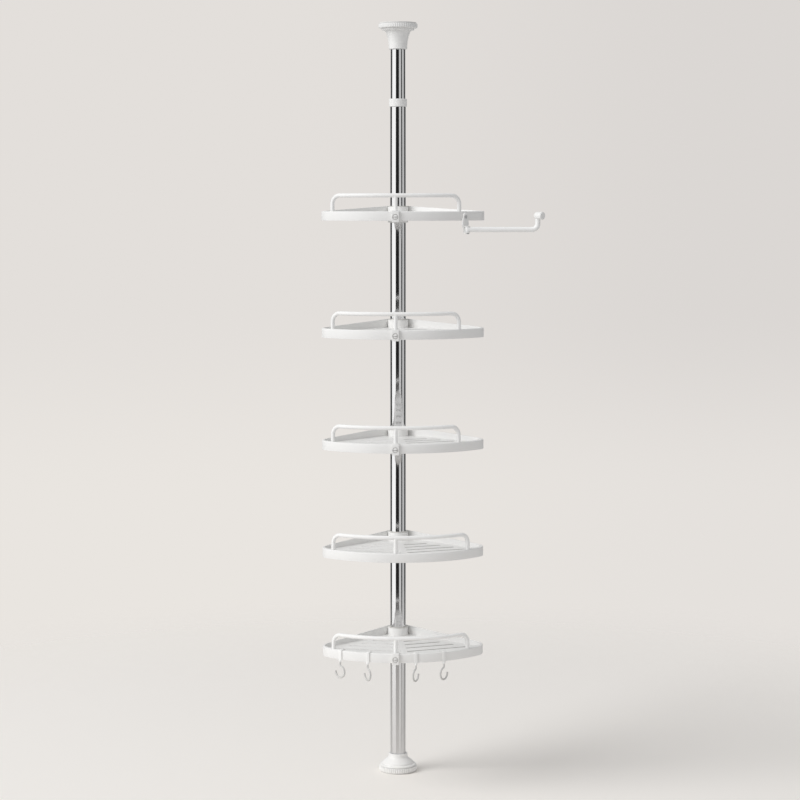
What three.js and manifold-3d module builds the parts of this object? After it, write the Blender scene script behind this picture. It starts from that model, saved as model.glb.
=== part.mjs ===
import * as THREE from 'three';
import { mergeVertices } from 'three/addons/utils/BufferGeometryUtils.js';
import Module from 'manifold-3d';

// A tension pole shelf unit: five corner trays on one chromed pole, held between floor and ceiling.
// Millimetres, +Z up. The origin is on the pole's axis, under the floor pad. The trays open
// towards -Y, and the corner of each tray is on the +Y side of the pole.

// Driving dimensions
const overallHeight = 1524;
const poleRadius = 15.9;
const tubeWall = 0.6;
const padThickness = 2;
const flangeRadius = 39;
const rimHeight = 18;
const frontRadius = 204.7;
const frontCentreSetback = 30.75;
const tipRadius = 38.5;
const shelfRimHeights = [1149, 921.3, 701.3, 488.5, 291.5];
const trayTurn = THREE.MathUtils.degToRad(3.9);

// Clearances
const fitGap = 0.3;
const slideGap = 0.35;
const overrun = 5;

// Smoothness of round shapes
const tubeSides = 24;
const flangeSides = 28;
const smallSides = 10;
const rodSides = 8;
const frontArcSteps = 16;
const tipArcSteps = 4;
const apexArcSteps = 4;
const mergeTolerance = 0.0001;

const halfTurn = Math.PI;
const quarterTurn = halfTurn / 2;
const fullTurn = halfTurn * 2;
const wallNormalTurn = quarterTurn + quarterTurn / 2;

const solids = await Module();
solids.setup();

// Materials
function plastic(color, roughness) {
  return new THREE.MeshStandardMaterial({ color, roughness, metalness: 0 });
}

function metal(color, roughness) {
  return new THREE.MeshStandardMaterial({ color, roughness, metalness: 1 });
}

const whitePlastic = plastic(0xf1f0ec, 0.45);
const whiteCoatedSteel = plastic(0xf3f2ee, 0.35);
const paleNylon = plastic(0xe6e5df, 0.6);
const paleRubber = plastic(0xe7e6e4, 0.9);
const chrome = metal(0xd9dadb, 0.06);
const zincSteel = metal(0xb9babb, 0.3);

// Solids and meshes
function signedVolume(positions, triangles) {
  const a = new THREE.Vector3();
  const b = new THREE.Vector3();
  const c = new THREE.Vector3();
  let sum = 0;
  for (let i = 0; i < triangles.length; i += 3) {
    a.fromArray(positions, triangles[i] * 3);
    b.fromArray(positions, triangles[i + 1] * 3);
    c.fromArray(positions, triangles[i + 2] * 3);
    sum += a.dot(b.cross(c));
  }
  return sum;
}

function toSolid(geometry) {
  geometry.deleteAttribute('normal');
  geometry.deleteAttribute('uv');
  const merged = mergeVertices(geometry, mergeTolerance);
  const positions = merged.attributes.position.array;
  const corners = [];
  for (let i = 0; i < merged.index.count; i += 3) {
    const [a, b, c] = [0, 1, 2].map((step) => merged.index.getX(i + step));
    if (a !== b && b !== c && c !== a) corners.push(a, b, c);
  }
  if (signedVolume(positions, corners) < 0) corners.reverse();
  const mesh = new solids.Mesh({
    numProp: 3,
    vertProperties: new Float32Array(positions),
    triVerts: new Uint32Array(corners),
  });
  return new solids.Manifold(mesh);
}

function toGeometry(solid) {
  const mesh = solid.getMesh();
  const geometry = new THREE.BufferGeometry();
  geometry.setAttribute('position', new THREE.BufferAttribute(mesh.vertProperties, 3));
  geometry.setIndex(new THREE.BufferAttribute(mesh.triVerts, 1));
  geometry.computeVertexNormals();
  return geometry;
}

function addPiece(parent, name, solid, material) {
  const mesh = new THREE.Mesh(toGeometry(solid), material);
  mesh.name = name;
  parent.add(mesh);
}

// A turned solid about the Z axis from a closed profile of [radius, height] points
function turned(profile, sides = tubeSides) {
  const points = profile.map(([radius, height]) => new THREE.Vector2(radius, height));
  return toSolid(new THREE.LatheGeometry(points, sides).rotateX(quarterTurn));
}

function disc(radius, bottom, top, sides = tubeSides) {
  return turned([[0, bottom], [radius, bottom], [radius, top], [0, top]], sides);
}

function ring(outer, inner, bottom, top, sides = tubeSides) {
  return turned([[inner, bottom], [outer, bottom], [outer, top], [inner, top], [inner, bottom]], sides);
}

// A plan outline raised from one height to another
function raised(points, bottom, top) {
  const shape = new THREE.Shape(points.map(([x, y]) => new THREE.Vector2(x, y)));
  const geometry = new THREE.ExtrudeGeometry(shape, { depth: top - bottom, bevelEnabled: false });
  return toSolid(geometry.translate(0, 0, bottom));
}

// A side outline of [x, height] points run from one y to another
function runAlongY(points, near, far) {
  const shape = new THREE.Shape(points.map(([x, y]) => new THREE.Vector2(x, y)));
  const geometry = new THREE.ExtrudeGeometry(shape, { depth: far - near, bevelEnabled: false });
  return toSolid(geometry.rotateX(quarterTurn).translate(0, far, 0));
}

// A side outline of [y, height] points, as wide as given, centred on x = 0
function runAlongX(points, width) {
  const shape = new THREE.Shape(points.map(([y, height]) => new THREE.Vector2(y, height)));
  const geometry = new THREE.ExtrudeGeometry(shape, { depth: width, bevelEnabled: false });
  return toSolid(geometry.translate(0, 0, -width / 2).rotateX(quarterTurn).rotateZ(quarterTurn));
}

function block(x, y, z) {
  const size = [x, y, z].map(([low, high]) => high - low);
  const middle = [x, y, z].map(([low, high]) => (low + high) / 2);
  return toSolid(new THREE.BoxGeometry(...size).translate(...middle));
}

// A round rod along the Y axis, from one y to another, at a height
function crossRod(radius, near, far, height, sides = smallSides) {
  const geometry = new THREE.CylinderGeometry(radius, radius, far - near, sides);
  return toSolid(geometry.translate(0, (near + far) / 2, height));
}

function uprightRod(radius, x, y, bottom, top, sides = smallSides) {
  const geometry = new THREE.CylinderGeometry(radius, radius, top - bottom, sides);
  return toSolid(geometry.rotateX(quarterTurn).translate(x, y, (bottom + top) / 2));
}

function joined(parts) {
  return parts.reduce((whole, part) => whole.add(part));
}

// A path through given points, met exactly, one step from each to the next
class Route extends THREE.Curve {
  constructor(points) {
    super();
    this.points = points;
  }

  getPoint(share) {
    const place = share * (this.points.length - 1);
    const index = Math.min(Math.floor(place + mergeTolerance), this.points.length - 1);
    const next = Math.min(index + 1, this.points.length - 1);
    return this.points[index].clone().lerp(this.points[next], Math.max(place - index, 0));
  }

  getPointAt(share) {
    return this.getPoint(share);
  }

  getTangentAt(share) {
    const index = Math.round(share * (this.points.length - 1));
    const before = this.points[Math.max(index - 1, 0)];
    const after = this.points[Math.min(index + 1, this.points.length - 1)];
    return after.clone().sub(before).normalize();
  }
}

function circlePoints(radius, sides) {
  return Array.from({ length: sides }, (_, i) => {
    const angle = (i / sides) * fullTurn;
    return new THREE.Vector2(radius * Math.cos(angle), radius * Math.sin(angle));
  });
}

function bentRod(points, radius, sides = rodSides) {
  const shape = new THREE.Shape(circlePoints(radius, sides));
  const settings = { steps: points.length - 1, extrudePath: new Route(points), bevelEnabled: false };
  return toSolid(new THREE.ExtrudeGeometry(shape, settings));
}

// Points on an arc about a centre, in the plane of two unit directions
function arcPoints(centre, radius, from, to, steps, first, second) {
  return Array.from({ length: steps + 1 }, (_, i) => {
    const angle = from + ((to - from) * i) / steps;
    return centre.clone()
      .addScaledVector(first, radius * Math.cos(angle))
      .addScaledVector(second, radius * Math.sin(angle));
  });
}

// Unit direction at an angle from -Y, turning towards +X
function outward(angle) {
  return [Math.sin(angle), -Math.cos(angle)];
}

// Ribbed band of the foot and the ceiling cup
const ribCount = 36;
const ribDepth = 0.9;
const bandHeight = 9.4;
const ledgeInset = 2.2;
const ledgeRadius = flangeRadius - ledgeInset;
const ledgeHeight = 3.6;

function ribbedBand(bottom, top) {
  const points = Array.from({ length: ribCount * 2 }, (_, i) => {
    const radius = i % 2 === 0 ? flangeRadius : flangeRadius - ribDepth;
    const [x, y] = outward((i / ribCount) * halfTurn);
    return [radius * x, radius * y];
  });
  return raised(points, bottom, top);
}

// Foot: a flange that flares up into the neck that holds the pole
const neckWall = 3.3;
const neckRadius = poleRadius + fitGap + neckWall;
const footHeight = 36.9;
const footNeckLength = 8.9;
const footFloor = 6;
const flareShares = [[0.18, 0.12], [0.34, 0.28], [0.55, 0.5], [0.78, 0.76]];

function footProfile() {
  const bandTop = padThickness + fitGap + bandHeight;
  const flareTop = footHeight - footNeckLength;
  const ledgeTop = bandTop + ledgeHeight;
  const flare = flareShares.map(([inShare, downShare]) => [
    neckRadius + (ledgeRadius - neckRadius) * inShare,
    flareTop - (flareTop - ledgeTop) * downShare,
  ]);
  return [
    [0, bandTop - bandHeight / 2], [ledgeRadius, bandTop - bandHeight / 2], [ledgeRadius, ledgeTop],
    ...flare.reverse(), [neckRadius, flareTop], [neckRadius, footHeight], [0, footHeight],
  ];
}

function footSolid() {
  const bottom = padThickness + fitGap;
  const body = ribbedBand(bottom, bottom + bandHeight).add(turned(footProfile(), flangeSides));
  return body.subtract(disc(poleRadius + fitGap, footFloor, footHeight + overrun));
}

// Pole: two tubes joined end to end, and a thinner tube that telescopes out of the upper one
const upperTubeRadius = poleRadius - tubeWall - fitGap;
const upperTubeLength = 620;
const couplerLength = 110;
const couplerWall = 1.5;
const collarHeight = 15.7;
const collarWall = 1.75;
const collarRadius = poleRadius + fitGap + collarWall;
const upperTubeShown = 98.7;
const cupHeight = 52.6;
const cupBottom = overallHeight - cupHeight;
const collarBottom = cupBottom - upperTubeShown - collarHeight;
const collarLip = 4.4;
const collarEdge = 1.2;
const tubeInsert = 5;
const middleTubeLength = 672;
const middleTubeTop = collarBottom + tubeInsert;
const jointHeight = middleTubeTop - middleTubeLength;
const lockRingSplit = 2;

function tube(radius, bottom, top) {
  return ring(radius, radius - tubeWall, bottom, top);
}

function lockingCollarSolid() {
  const top = collarBottom + collarHeight;
  const bore = poleRadius + fitGap;
  const lipBore = upperTubeRadius + slideGap;
  return turned([
    [bore, collarBottom], [collarRadius - collarEdge, collarBottom],
    [collarRadius, collarBottom + collarEdge], [collarRadius, top - collarEdge],
    [collarRadius - collarEdge, top], [lipBore, top], [lipBore, top - collarLip],
    [bore, top - collarLip], [bore, collarBottom],
  ]);
}

function lockRingSolid() {
  const bottom = middleTubeTop + fitGap;
  const top = collarBottom + collarHeight - collarLip - fitGap;
  const split = block([-lockRingSplit / 2, lockRingSplit / 2], [0, poleRadius + overrun],
    [bottom - overrun, top + overrun]);
  return ring(poleRadius, upperTubeRadius + fitGap, bottom, top).subtract(split);
}

// Ceiling cup: a trumpet that slides on the upper tube against a spring
const cupNeckWall = 3.1;
const cupNeckRadius = upperTubeRadius + fitGap + cupNeckWall;
const cupStepHeight = 5;
const cupStepInset = 6.5;
const cupStepRadius = flangeRadius - cupStepInset;
const cupFloorThickness = 8;
const cupTravel = 20;
const trumpetShares = [[0.03, 0.2], [0.1, 0.42], [0.21, 0.62], [0.42, 0.84], [0.68, 1]];
const cupTop = overallHeight - padThickness - fitGap;
const cupFloor = cupTop - cupFloorThickness;
const upperTubeTop = cupFloor - cupTravel;
const upperTubeBottom = upperTubeTop - upperTubeLength;

function cupSolid() {
  const bandBottom = cupTop - bandHeight;
  const stepBottom = bandBottom - cupStepHeight;
  const trumpet = trumpetShares.map(([outShare, upShare]) => [
    cupNeckRadius + (cupStepRadius - cupNeckRadius) * outShare,
    cupBottom + (stepBottom - cupBottom) * upShare,
  ]);
  const profile = [
    [0, cupBottom], [cupNeckRadius, cupBottom], ...trumpet, [cupStepRadius, stepBottom],
    [cupStepRadius, bandBottom + bandHeight / 2], [0, bandBottom + bandHeight / 2],
  ];
  const body = turned(profile, flangeSides).add(ribbedBand(bandBottom, cupTop));
  return body.subtract(disc(upperTubeRadius + fitGap, cupBottom - overrun, cupFloor));
}

// Spring set inside the upper tube and the cup
const stopHeight = 6;
const stopDrop = 105;
const stopHole = 3;
const plungerFlange = 3;
const plungerRadius = 5;
const plungerLength = 60;
const springWire = 1.1;
const springInset = 2.7;
const springCurls = 10;
const stepsPerCurl = 8;
const springSides = 5;
const stopTop = upperTubeTop - stopDrop;
const plugRadius = upperTubeRadius - tubeWall - fitGap;
const springRadius = plugRadius - springInset;
const plungerTop = cupFloor - fitGap;

function springStopSolid() {
  return ring(plugRadius, stopHole, stopTop - stopHeight, stopTop);
}

function plungerSolid() {
  const flangeBottom = plungerTop - plungerFlange;
  return turned([
    [0, flangeBottom - plungerLength], [plungerRadius, flangeBottom - plungerLength],
    [plungerRadius, flangeBottom], [plugRadius, flangeBottom], [plugRadius, plungerTop], [0, plungerTop],
  ]);
}

function springPoints() {
  const low = stopTop + fitGap + springWire;
  const high = plungerTop - plungerFlange - fitGap - springWire;
  const count = springCurls * stepsPerCurl;
  return Array.from({ length: count + 1 }, (_, i) => {
    const angle = (i / stepsPerCurl) * fullTurn;
    const height = low + ((high - low) * i) / count;
    return new THREE.Vector3(springRadius * Math.cos(angle), springRadius * Math.sin(angle), height);
  });
}

function leastSpringGap(points) {
  let least = Infinity;
  for (let i = 0; i < points.length; i += 1) {
    for (let j = i + stepsPerCurl - 1; j < points.length; j += 1) {
      least = Math.min(least, points[i].distanceTo(points[j]) - springWire * 2);
    }
  }
  return least;
}

function springSolid() {
  const points = springPoints();
  console.log('least gap between curls of the spring, mm:', leastSpringGap(points).toFixed(2));
  return bentRod(points, springWire, springSides);
}

// Guide bush on the lower end of the upper tube
const bushPlugLength = 12;
const bushFlange = 4;
const bushHole = 6;

function guideBushSolid() {
  const flangeTop = upperTubeBottom - fitGap;
  return turned([
    [bushHole, flangeTop - bushFlange], [upperTubeRadius, flangeTop - bushFlange],
    [upperTubeRadius, flangeTop], [plugRadius, flangeTop], [plugRadius, flangeTop + bushPlugLength],
    [bushHole, flangeTop + bushPlugLength], [bushHole, flangeTop - bushFlange],
  ]);
}

// Collet: a split bush that grips the pole inside the tray's sleeve. Heights are from the rim's top.
const colletWall = 1.9;
const colletTop = 9.7;
const colletFlange = 1.4;
const colletFlangeWidth = 1.25;
const colletSplit = 2.5;
const colletRadius = poleRadius + slideGap + colletWall;
const colletFlangeRadius = colletRadius + colletFlangeWidth;
const sleeveTop = colletTop - colletFlange - fitGap;
const sleeveFoot = 5.5;

function colletSolid() {
  const bore = poleRadius + slideGap;
  const bottom = -rimHeight;
  const flangeBottom = colletTop - colletFlange;
  const bush = turned([
    [bore, bottom], [colletRadius, bottom], [colletRadius, flangeBottom], [colletFlangeRadius, flangeBottom],
    [colletFlangeRadius, colletTop], [bore, colletTop], [bore, bottom],
  ]);
  const split = block([-colletSplit / 2, colletSplit / 2], [0, colletFlangeRadius + overrun],
    [bottom - overrun, colletTop + overrun]);
  return bush.subtract(split);
}

// Tray: a moulded corner tray. Heights are from the rim's top.
const skin = 2.4;
const rimWidth = 10;
const deckDepth = 8;
const wallRise = 11;
const sleeveWall = 1.9;
const sleeveRadius = colletRadius + fitGap + sleeveWall;
const cornerMargin = 0.65;
const cornerWallDistance = sleeveRadius + cornerMargin;
const railRodRadius = 4;
const socketWall = 2.3;
const socketRadius = railRodRadius + fitGap + socketWall;
const railLegDepth = 12;
const socketFloor = 2.7;
const socketDepth = railLegDepth + fitGap + socketFloor;
const slotWidth = 5;
const slotCount = 4;
const slotPitch = 33;
const slotStart = 9;
const slotFrontMargin = 63.45;
const firstSlotSetback = frontRadius + frontCentreSetback - slotFrontMargin;
const slotSlope = THREE.MathUtils.degToRad(18);
const slotWallMargin = 24;
const slotEndSteps = 2;
const deckRibWidth = 1.8;
const deckRibDepth = 5;
const deckRibTurns = [-36, 0, 36].map(THREE.MathUtils.degToRad);
const arcCentreY = -frontCentreSetback;

// The tip circle touches the straight wall and the front arc
function tipCircle(wallDistance, radius, tip) {
  const reach = Math.SQRT2 * (wallDistance - tip) - arcCentreY;
  const span = radius - tip;
  const x = (reach + Math.sqrt(2 * span * span - reach * reach)) / 2;
  return { x, y: reach + arcCentreY - x, tip };
}

function sweepPlan(centreX, centreY, radius, from, to, steps) {
  return Array.from({ length: steps + 1 }, (_, i) => {
    const [x, y] = outward(from + ((to - from) * i) / steps);
    return [centreX + radius * x, centreY + radius * y];
  });
}

function trayPlan(wallInset, rimInset) {
  const wallDistance = cornerWallDistance - wallInset;
  const radius = frontRadius - rimInset;
  const { x, y, tip } = tipCircle(wallDistance, radius, tipRadius - rimInset);
  const meeting = Math.atan2(x, arcCentreY - y);
  return [
    ...sweepPlan(0, arcCentreY, radius, -meeting, meeting, frontArcSteps),
    ...sweepPlan(x, y, tip, meeting, wallNormalTurn, tipArcSteps).slice(1),
    ...sweepPlan(0, 0, wallDistance, wallNormalTurn, fullTurn - wallNormalTurn, apexArcSteps),
    ...sweepPlan(-x, y, tip, fullTurn - wallNormalTurn, fullTurn - meeting, tipArcSteps).slice(0, -1),
  ];
}

function trayHalfWidth() {
  const { x, tip } = tipCircle(cornerWallDistance, frontRadius, tipRadius);
  return x + tip;
}

// What lies above the sloping top of the two back walls
function aboveWalls() {
  const half = trayHalfWidth();
  const high = wallRise + overrun;
  const points = [[-half - overrun, 0], [-half, 0], [0, wallRise], [half, 0], [half + overrun, 0],
    [half + overrun, high], [-half - overrun, high]];
  return runAlongY(points, -frontRadius * 2, frontRadius);
}

// What lies above the rim in front of the back walls
function aboveRim() {
  const far = frontRadius * 2;
  const tip = (cornerWallDistance - skin) * Math.SQRT2;
  const plan = [[0, tip], [-far, tip - far], [-far, -far * 2], [far, -far * 2], [far, tip - far]];
  return raised(plan, 0, wallRise + overrun);
}

function slotPlan(start, end) {
  const [x0, y0] = start;
  const [x1, y1] = end;
  const heading = Math.atan2(y1 - y0, x1 - x0);
  return [
    ...sweepPlan(x1, y1, slotWidth / 2, heading, heading + halfTurn, slotEndSteps),
    ...sweepPlan(x0, y0, slotWidth / 2, heading + halfTurn, heading + fullTurn, slotEndSteps),
  ];
}

function deckSlots() {
  const slots = [];
  for (let i = 0; i < slotCount; i += 1) {
    const y = -firstSlotSetback + i * slotPitch;
    const wallLine = (cornerWallDistance - slotWallMargin - skin) * Math.SQRT2;
    const length = (wallLine - slotStart - y) / (Math.cos(slotSlope) + Math.sin(slotSlope));
    const x = slotStart + length * Math.cos(slotSlope);
    const back = y + length * Math.sin(slotSlope);
    for (const side of [-1, 1]) {
      const plan = slotPlan([side * slotStart, y], [side * x, back]);
      slots.push(raised(plan, -deckDepth - skin - overrun, -deckDepth + overrun));
    }
  }
  return joined(slots);
}

function deckRibs() {
  const top = -deckDepth - skin / 2;
  const length = frontRadius + frontCentreSetback - rimWidth;
  const ribs = deckRibTurns.map((turn) => {
    const box = new THREE.BoxGeometry(deckRibWidth, length, deckRibDepth + skin / 2);
    const y = -cornerWallDistance / 2 - length / 2;
    return toSolid(box.translate(0, y, top - (deckRibDepth + skin / 2) / 2).rotateZ(turn));
  });
  return joined(ribs).intersect(raised(trayPlan(skin / 2, skin / 2), -rimHeight, 0));
}

// Where the rail's legs, its clip and the towel bracket stand, as turns about the centre of the front arc
const railLeftTurn = THREE.MathUtils.degToRad(-44);
const railRightTurns = [31.6, 31.6, 31.6, 38.5, 38.5].map(THREE.MathUtils.degToRad);
const clipTurn = THREE.MathUtils.degToRad(-5.8);
const railHeights = [30.5, 31, 31, 30, 29];
const railBend = 17;
const railArcSteps = 12;
const railBendSteps = 4;
const railCircle = frontRadius - rimWidth / 2;
const clipScrewDrop = 10.7;
const clipScrewRadius = 2.1;
const bracketTurn = THREE.MathUtils.degToRad(34.2);
const bracketScrewDrop = 11;

function onRim(turn, radius) {
  const [x, y] = outward(turn);
  return [radius * x, arcCentreY + radius * y];
}

// The fourth shelf has no clip, and its rail's post stands in the rim like the two legs
const cliplessShelf = 3;

function rimSocketTurns(shelf) {
  const legs = [railLeftTurn, railRightTurns[shelf]];
  return shelf === cliplessShelf ? [...legs, clipTurn] : legs;
}

// A screw hole through the rim's skirt
function skirtHole(turn, drop) {
  const hole = crossRod(clipScrewRadius + fitGap, -frontRadius - overrun, -frontRadius + rimWidth / 2, -drop);
  return toSolid(toGeometry(hole).rotateZ(turn).translate(0, arcCentreY, 0));
}

function traySolid(shelf) {
  const hollowTop = -deckDepth - skin;
  const shell = raised(trayPlan(0, 0), -rimHeight, wallRise)
    .subtract(aboveWalls())
    .subtract(aboveRim())
    .subtract(raised(trayPlan(skin, rimWidth), -deckDepth, wallRise + overrun))
    .subtract(raised(trayPlan(skin, skin), -rimHeight - overrun, hollowTop));
  const channel = raised(trayPlan(skin, skin), hollowTop - overrun, -skin)
    .subtract(raised(trayPlan(0, rimWidth - skin), hollowTop - overrun * 2, 0));
  const legTurns = rimSocketTurns(shelf);
  const sockets = joined(legTurns.map((turn) =>
    uprightRod(socketRadius, ...onRim(turn, railCircle), -socketDepth, -skin / 2)))
    .intersect(raised(trayPlan(skin / 2, skin / 2), -rimHeight, 0));
  const legHoles = joined(legTurns.map((turn) =>
    uprightRod(railRodRadius + fitGap, ...onRim(turn, railCircle), -railLegDepth - fitGap, overrun)));
  let tray = shell.subtract(channel).subtract(deckSlots()).add(deckRibs()).add(sockets).subtract(legHoles)
    .add(disc(sleeveRadius, -rimHeight - sleeveFoot, sleeveTop))
    .subtract(disc(colletRadius + fitGap, -rimHeight - sleeveFoot - overrun, sleeveTop + overrun))
    .subtract(disc(colletFlangeRadius + fitGap, sleeveTop, wallRise + overrun));
  if (shelf !== cliplessShelf) tray = tray.subtract(skirtHole(clipTurn, clipScrewDrop));
  if (shelf === 0) tray = tray.subtract(skirtHole(bracketTurn, bracketScrewDrop));
  return tray;
}

// Clip sizes
const clipWidth = 14;
const clipThickness = 6;
const clipDrop = 20.5;
const clipTab = 1.4;
const clipFloor = 0.8;
const clipCorner = 1.2;

// Guard rail: a bent rod with a leg at each end and a post down to the clip or the rim
function guardRailSolid(shelf) {
  const up = new THREE.Vector3(0, 0, 1);
  const bendTurn = railBend / railCircle;
  const right = railRightTurns[shelf];
  const height = railHeights[shelf];
  const levelHeight = height - railBend;
  const corner = (turn, side) => {
    const centre = new THREE.Vector3(...onRim(turn - side * bendTurn, railCircle), levelHeight);
    const along = new THREE.Vector3(...onRim(turn, railCircle), levelHeight).sub(centre).normalize();
    return arcPoints(centre, railBend, 0, quarterTurn, railBendSteps, along, up);
  };
  const arc = Array.from({ length: railArcSteps - 1 }, (_, i) => {
    const span = right - railLeftTurn - bendTurn * 2;
    const [x, y] = onRim(railLeftTurn + bendTurn + (span * (i + 1)) / railArcSteps, railCircle);
    return new THREE.Vector3(x, y, height);
  });
  const leg = (turn) => new THREE.Vector3(...onRim(turn, railCircle), -railLegDepth);
  const points = [leg(railLeftTurn), ...corner(railLeftTurn, -1), ...arc,
    ...corner(right, 1).reverse(), leg(right)];
  const postPlace = onRim(clipTurn, railCircle);
  const postBottom = shelf === cliplessShelf ? -railLegDepth : fitGap * 2 + clipFloor;
  const post = uprightRod(railRodRadius, ...postPlace, postBottom, height, rodSides);
  return bentRod(points, railRodRadius).add(post);
}

// Rail clip: a block over the front rim that holds the foot of the post
function clipSolid() {
  const front = -frontRadius - fitGap - clipThickness;
  const back = -frontRadius + rimWidth;
  const inner = -frontRadius - fitGap;
  const top = fitGap + clipTab;
  const side = [
    [front, -clipDrop + clipCorner], [front + clipCorner, -clipDrop], [inner, -clipDrop], [inner, fitGap],
    [back, fitGap], [back, top - clipCorner], [back - clipCorner, top], [front + clipCorner, top],
    [front, top - clipCorner],
  ];
  const post = uprightRod(railRodRadius + fitGap, 0, -railCircle, fitGap + clipFloor, top + overrun);
  const screw = crossRod(clipScrewRadius + fitGap, front - overrun, inner + overrun, -clipScrewDrop);
  return runAlongX(side, clipWidth).subtract(post).subtract(screw);
}

// Screws through the skirt, with a plain domed head
const screwHeadRadius = 4.4;
const screwHeadHeight = 2;
const screwDomeShare = 0.7;
const screwReach = 4;

function skirtScrewSolid(seat, drop, headRadius) {
  const tip = -frontRadius + screwReach;
  const shank = crossRod(clipScrewRadius, seat - screwHeadHeight / 2, tip, -drop);
  const crown = headRadius * screwDomeShare;
  const dome = new THREE.CylinderGeometry(headRadius, crown, screwHeadHeight, smallSides);
  const head = toSolid(dome.translate(0, seat - fitGap - screwHeadHeight / 2, -drop));
  return head.add(shank);
}

// Towel bracket: a tapered plate on the top shelf's rim, with two lugs around the arm
const bracketThickness = 4;
const bracketTopRadius = 5;
const bracketTopDrop = 8;
const bracketWideRadius = 7.8;
const bracketWideDrop = 24;
const bracketFoot = 42;
const bracketTipRadius = 3.2;
const lugThickness = 1.6;
const lugRadius = 4.4;
const armRodRadius = 5;
const armDrop = 35;
const armLength = 135;
const armPost = 27.4;
const armBend = 11;
const armBendSteps = 5;
const pinRadius = 1.8;
const pinHeadRadius = 3.2;
const pinHeadHeight = 1.8;
const knobRadius = 7.5;
const knobReach = 13.4;
const knobEdge = 1.2;
const knobHeight = 26.4;
const knobTurn = THREE.MathUtils.degToRad(-45);
const knobDomeSteps = 4;
const plateSteps = 6;
const pivotY = -frontRadius - fitGap - bracketThickness - slideGap - armRodRadius;

function bracketSolid() {
  const tipDrop = -bracketFoot + bracketTipRadius;
  const outline = [
    ...sweepPlan(0, -bracketWideDrop, bracketWideRadius, -quarterTurn, -quarterTurn / 2, plateSteps),
    ...sweepPlan(0, tipDrop, bracketTipRadius, -quarterTurn / 2, quarterTurn / 2, plateSteps),
    ...sweepPlan(0, -bracketWideDrop, bracketWideRadius, quarterTurn / 2, quarterTurn, plateSteps),
    ...sweepPlan(0, -bracketTopDrop, bracketTopRadius, quarterTurn, quarterTurn + halfTurn, plateSteps),
  ];
  const inner = -frontRadius - fitGap;
  const plate = runAlongY(outline, inner - bracketThickness, inner);
  const lug = (bottom, top) => uprightRod(lugRadius, 0, pivotY, bottom, top)
    .add(block([-lugRadius, lugRadius], [pivotY, inner - bracketThickness / 2], [bottom, top]));
  const highLug = -armDrop + armRodRadius + fitGap;
  const lowLug = -armDrop - armRodRadius - fitGap;
  const pinLow = lowLug - lugThickness - overrun;
  const pinHigh = highLug + lugThickness + overrun;
  const pinHole = uprightRod(pinRadius + fitGap, 0, pivotY, pinLow, pinHigh);
  const outside = inner - bracketThickness - overrun;
  const screwHole = crossRod(clipScrewRadius + fitGap, outside, inner + overrun, -bracketScrewDrop);
  return plate.add(lug(highLug, highLug + lugThickness)).add(lug(lowLug - lugThickness, lowLug))
    .subtract(pinHole).subtract(screwHole);
}

function pinSolid() {
  const low = -armDrop - armRodRadius - fitGap * 2 - lugThickness;
  const high = -armDrop + armRodRadius + fitGap + lugThickness;
  return uprightRod(pinRadius, 0, pivotY, low - fitGap, high)
    .add(uprightRod(pinHeadRadius, 0, pivotY, low - pinHeadHeight, low));
}

// Towel arm along +X from its pivot, with an upturned end
function armPoints() {
  const along = new THREE.Vector3(1, 0, 0);
  const up = new THREE.Vector3(0, 0, 1);
  const bendCentre = new THREE.Vector3(armLength - armBend, 0, armBend);
  const bend = arcPoints(bendCentre, armBend, -quarterTurn, 0, armBendSteps, along, up);
  return [new THREE.Vector3(0, 0, 0), ...bend, new THREE.Vector3(armLength, 0, armPost)];
}

function armSolid() {
  const rod = bentRod(armPoints(), armRodRadius, smallSides);
  const end = uprightRod(armRodRadius, 0, 0, -armRodRadius, armRodRadius);
  const hole = uprightRod(pinRadius + fitGap, 0, 0, -armRodRadius - overrun, armRodRadius + overrun);
  return rod.add(end).subtract(hole);
}

// Knob: a short round bar lying level, domed behind the arm's end and flat in front
function knobSolid() {
  const dome = Array.from({ length: knobDomeSteps }, (_, i) => {
    const angle = ((i + 1) / knobDomeSteps) * quarterTurn;
    return [knobRadius * Math.sin(angle), -knobRadius * Math.cos(angle)];
  });
  const profile = [
    [0, -knobRadius], ...dome, [knobRadius, knobReach - knobEdge], [knobRadius - knobEdge, knobReach],
    [0, knobReach],
  ];
  const geometry = toGeometry(turned(profile, smallSides)).rotateY(quarterTurn).rotateZ(knobTurn);
  const whole = toSolid(geometry.translate(armLength, 0, knobHeight));
  const route = armPoints();
  route[route.length - 1].z += fitGap;
  return whole.subtract(bentRod(route, armRodRadius + fitGap, smallSides));
}

// Hook: a flat strap over the front rim of the bottom shelf, and a round wire curled up beneath it
const hookTurns = [-38, -21.2, 5.2, 21.3].map(THREE.MathUtils.degToRad);
const hookSides = [-1, -1, 1, 1];
const strapWidth = 7.4;
const strapThickness = 1.2;
const strapGap = 0.7;
const strapInnerDrop = 5.5;
const strapDrop = 21.5;
const wireRadius = 1.9;
const curlRadius = 11.9;
const curlTop = 28.5;
const curlSteps = 14;
const wireSides = 6;
const curlStart = THREE.MathUtils.degToRad(95);
const curlEnd = THREE.MathUtils.degToRad(-185);
const curlTwists = [-7, -43, 54, 28].map(THREE.MathUtils.degToRad);
const neckLap = 3;

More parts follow.
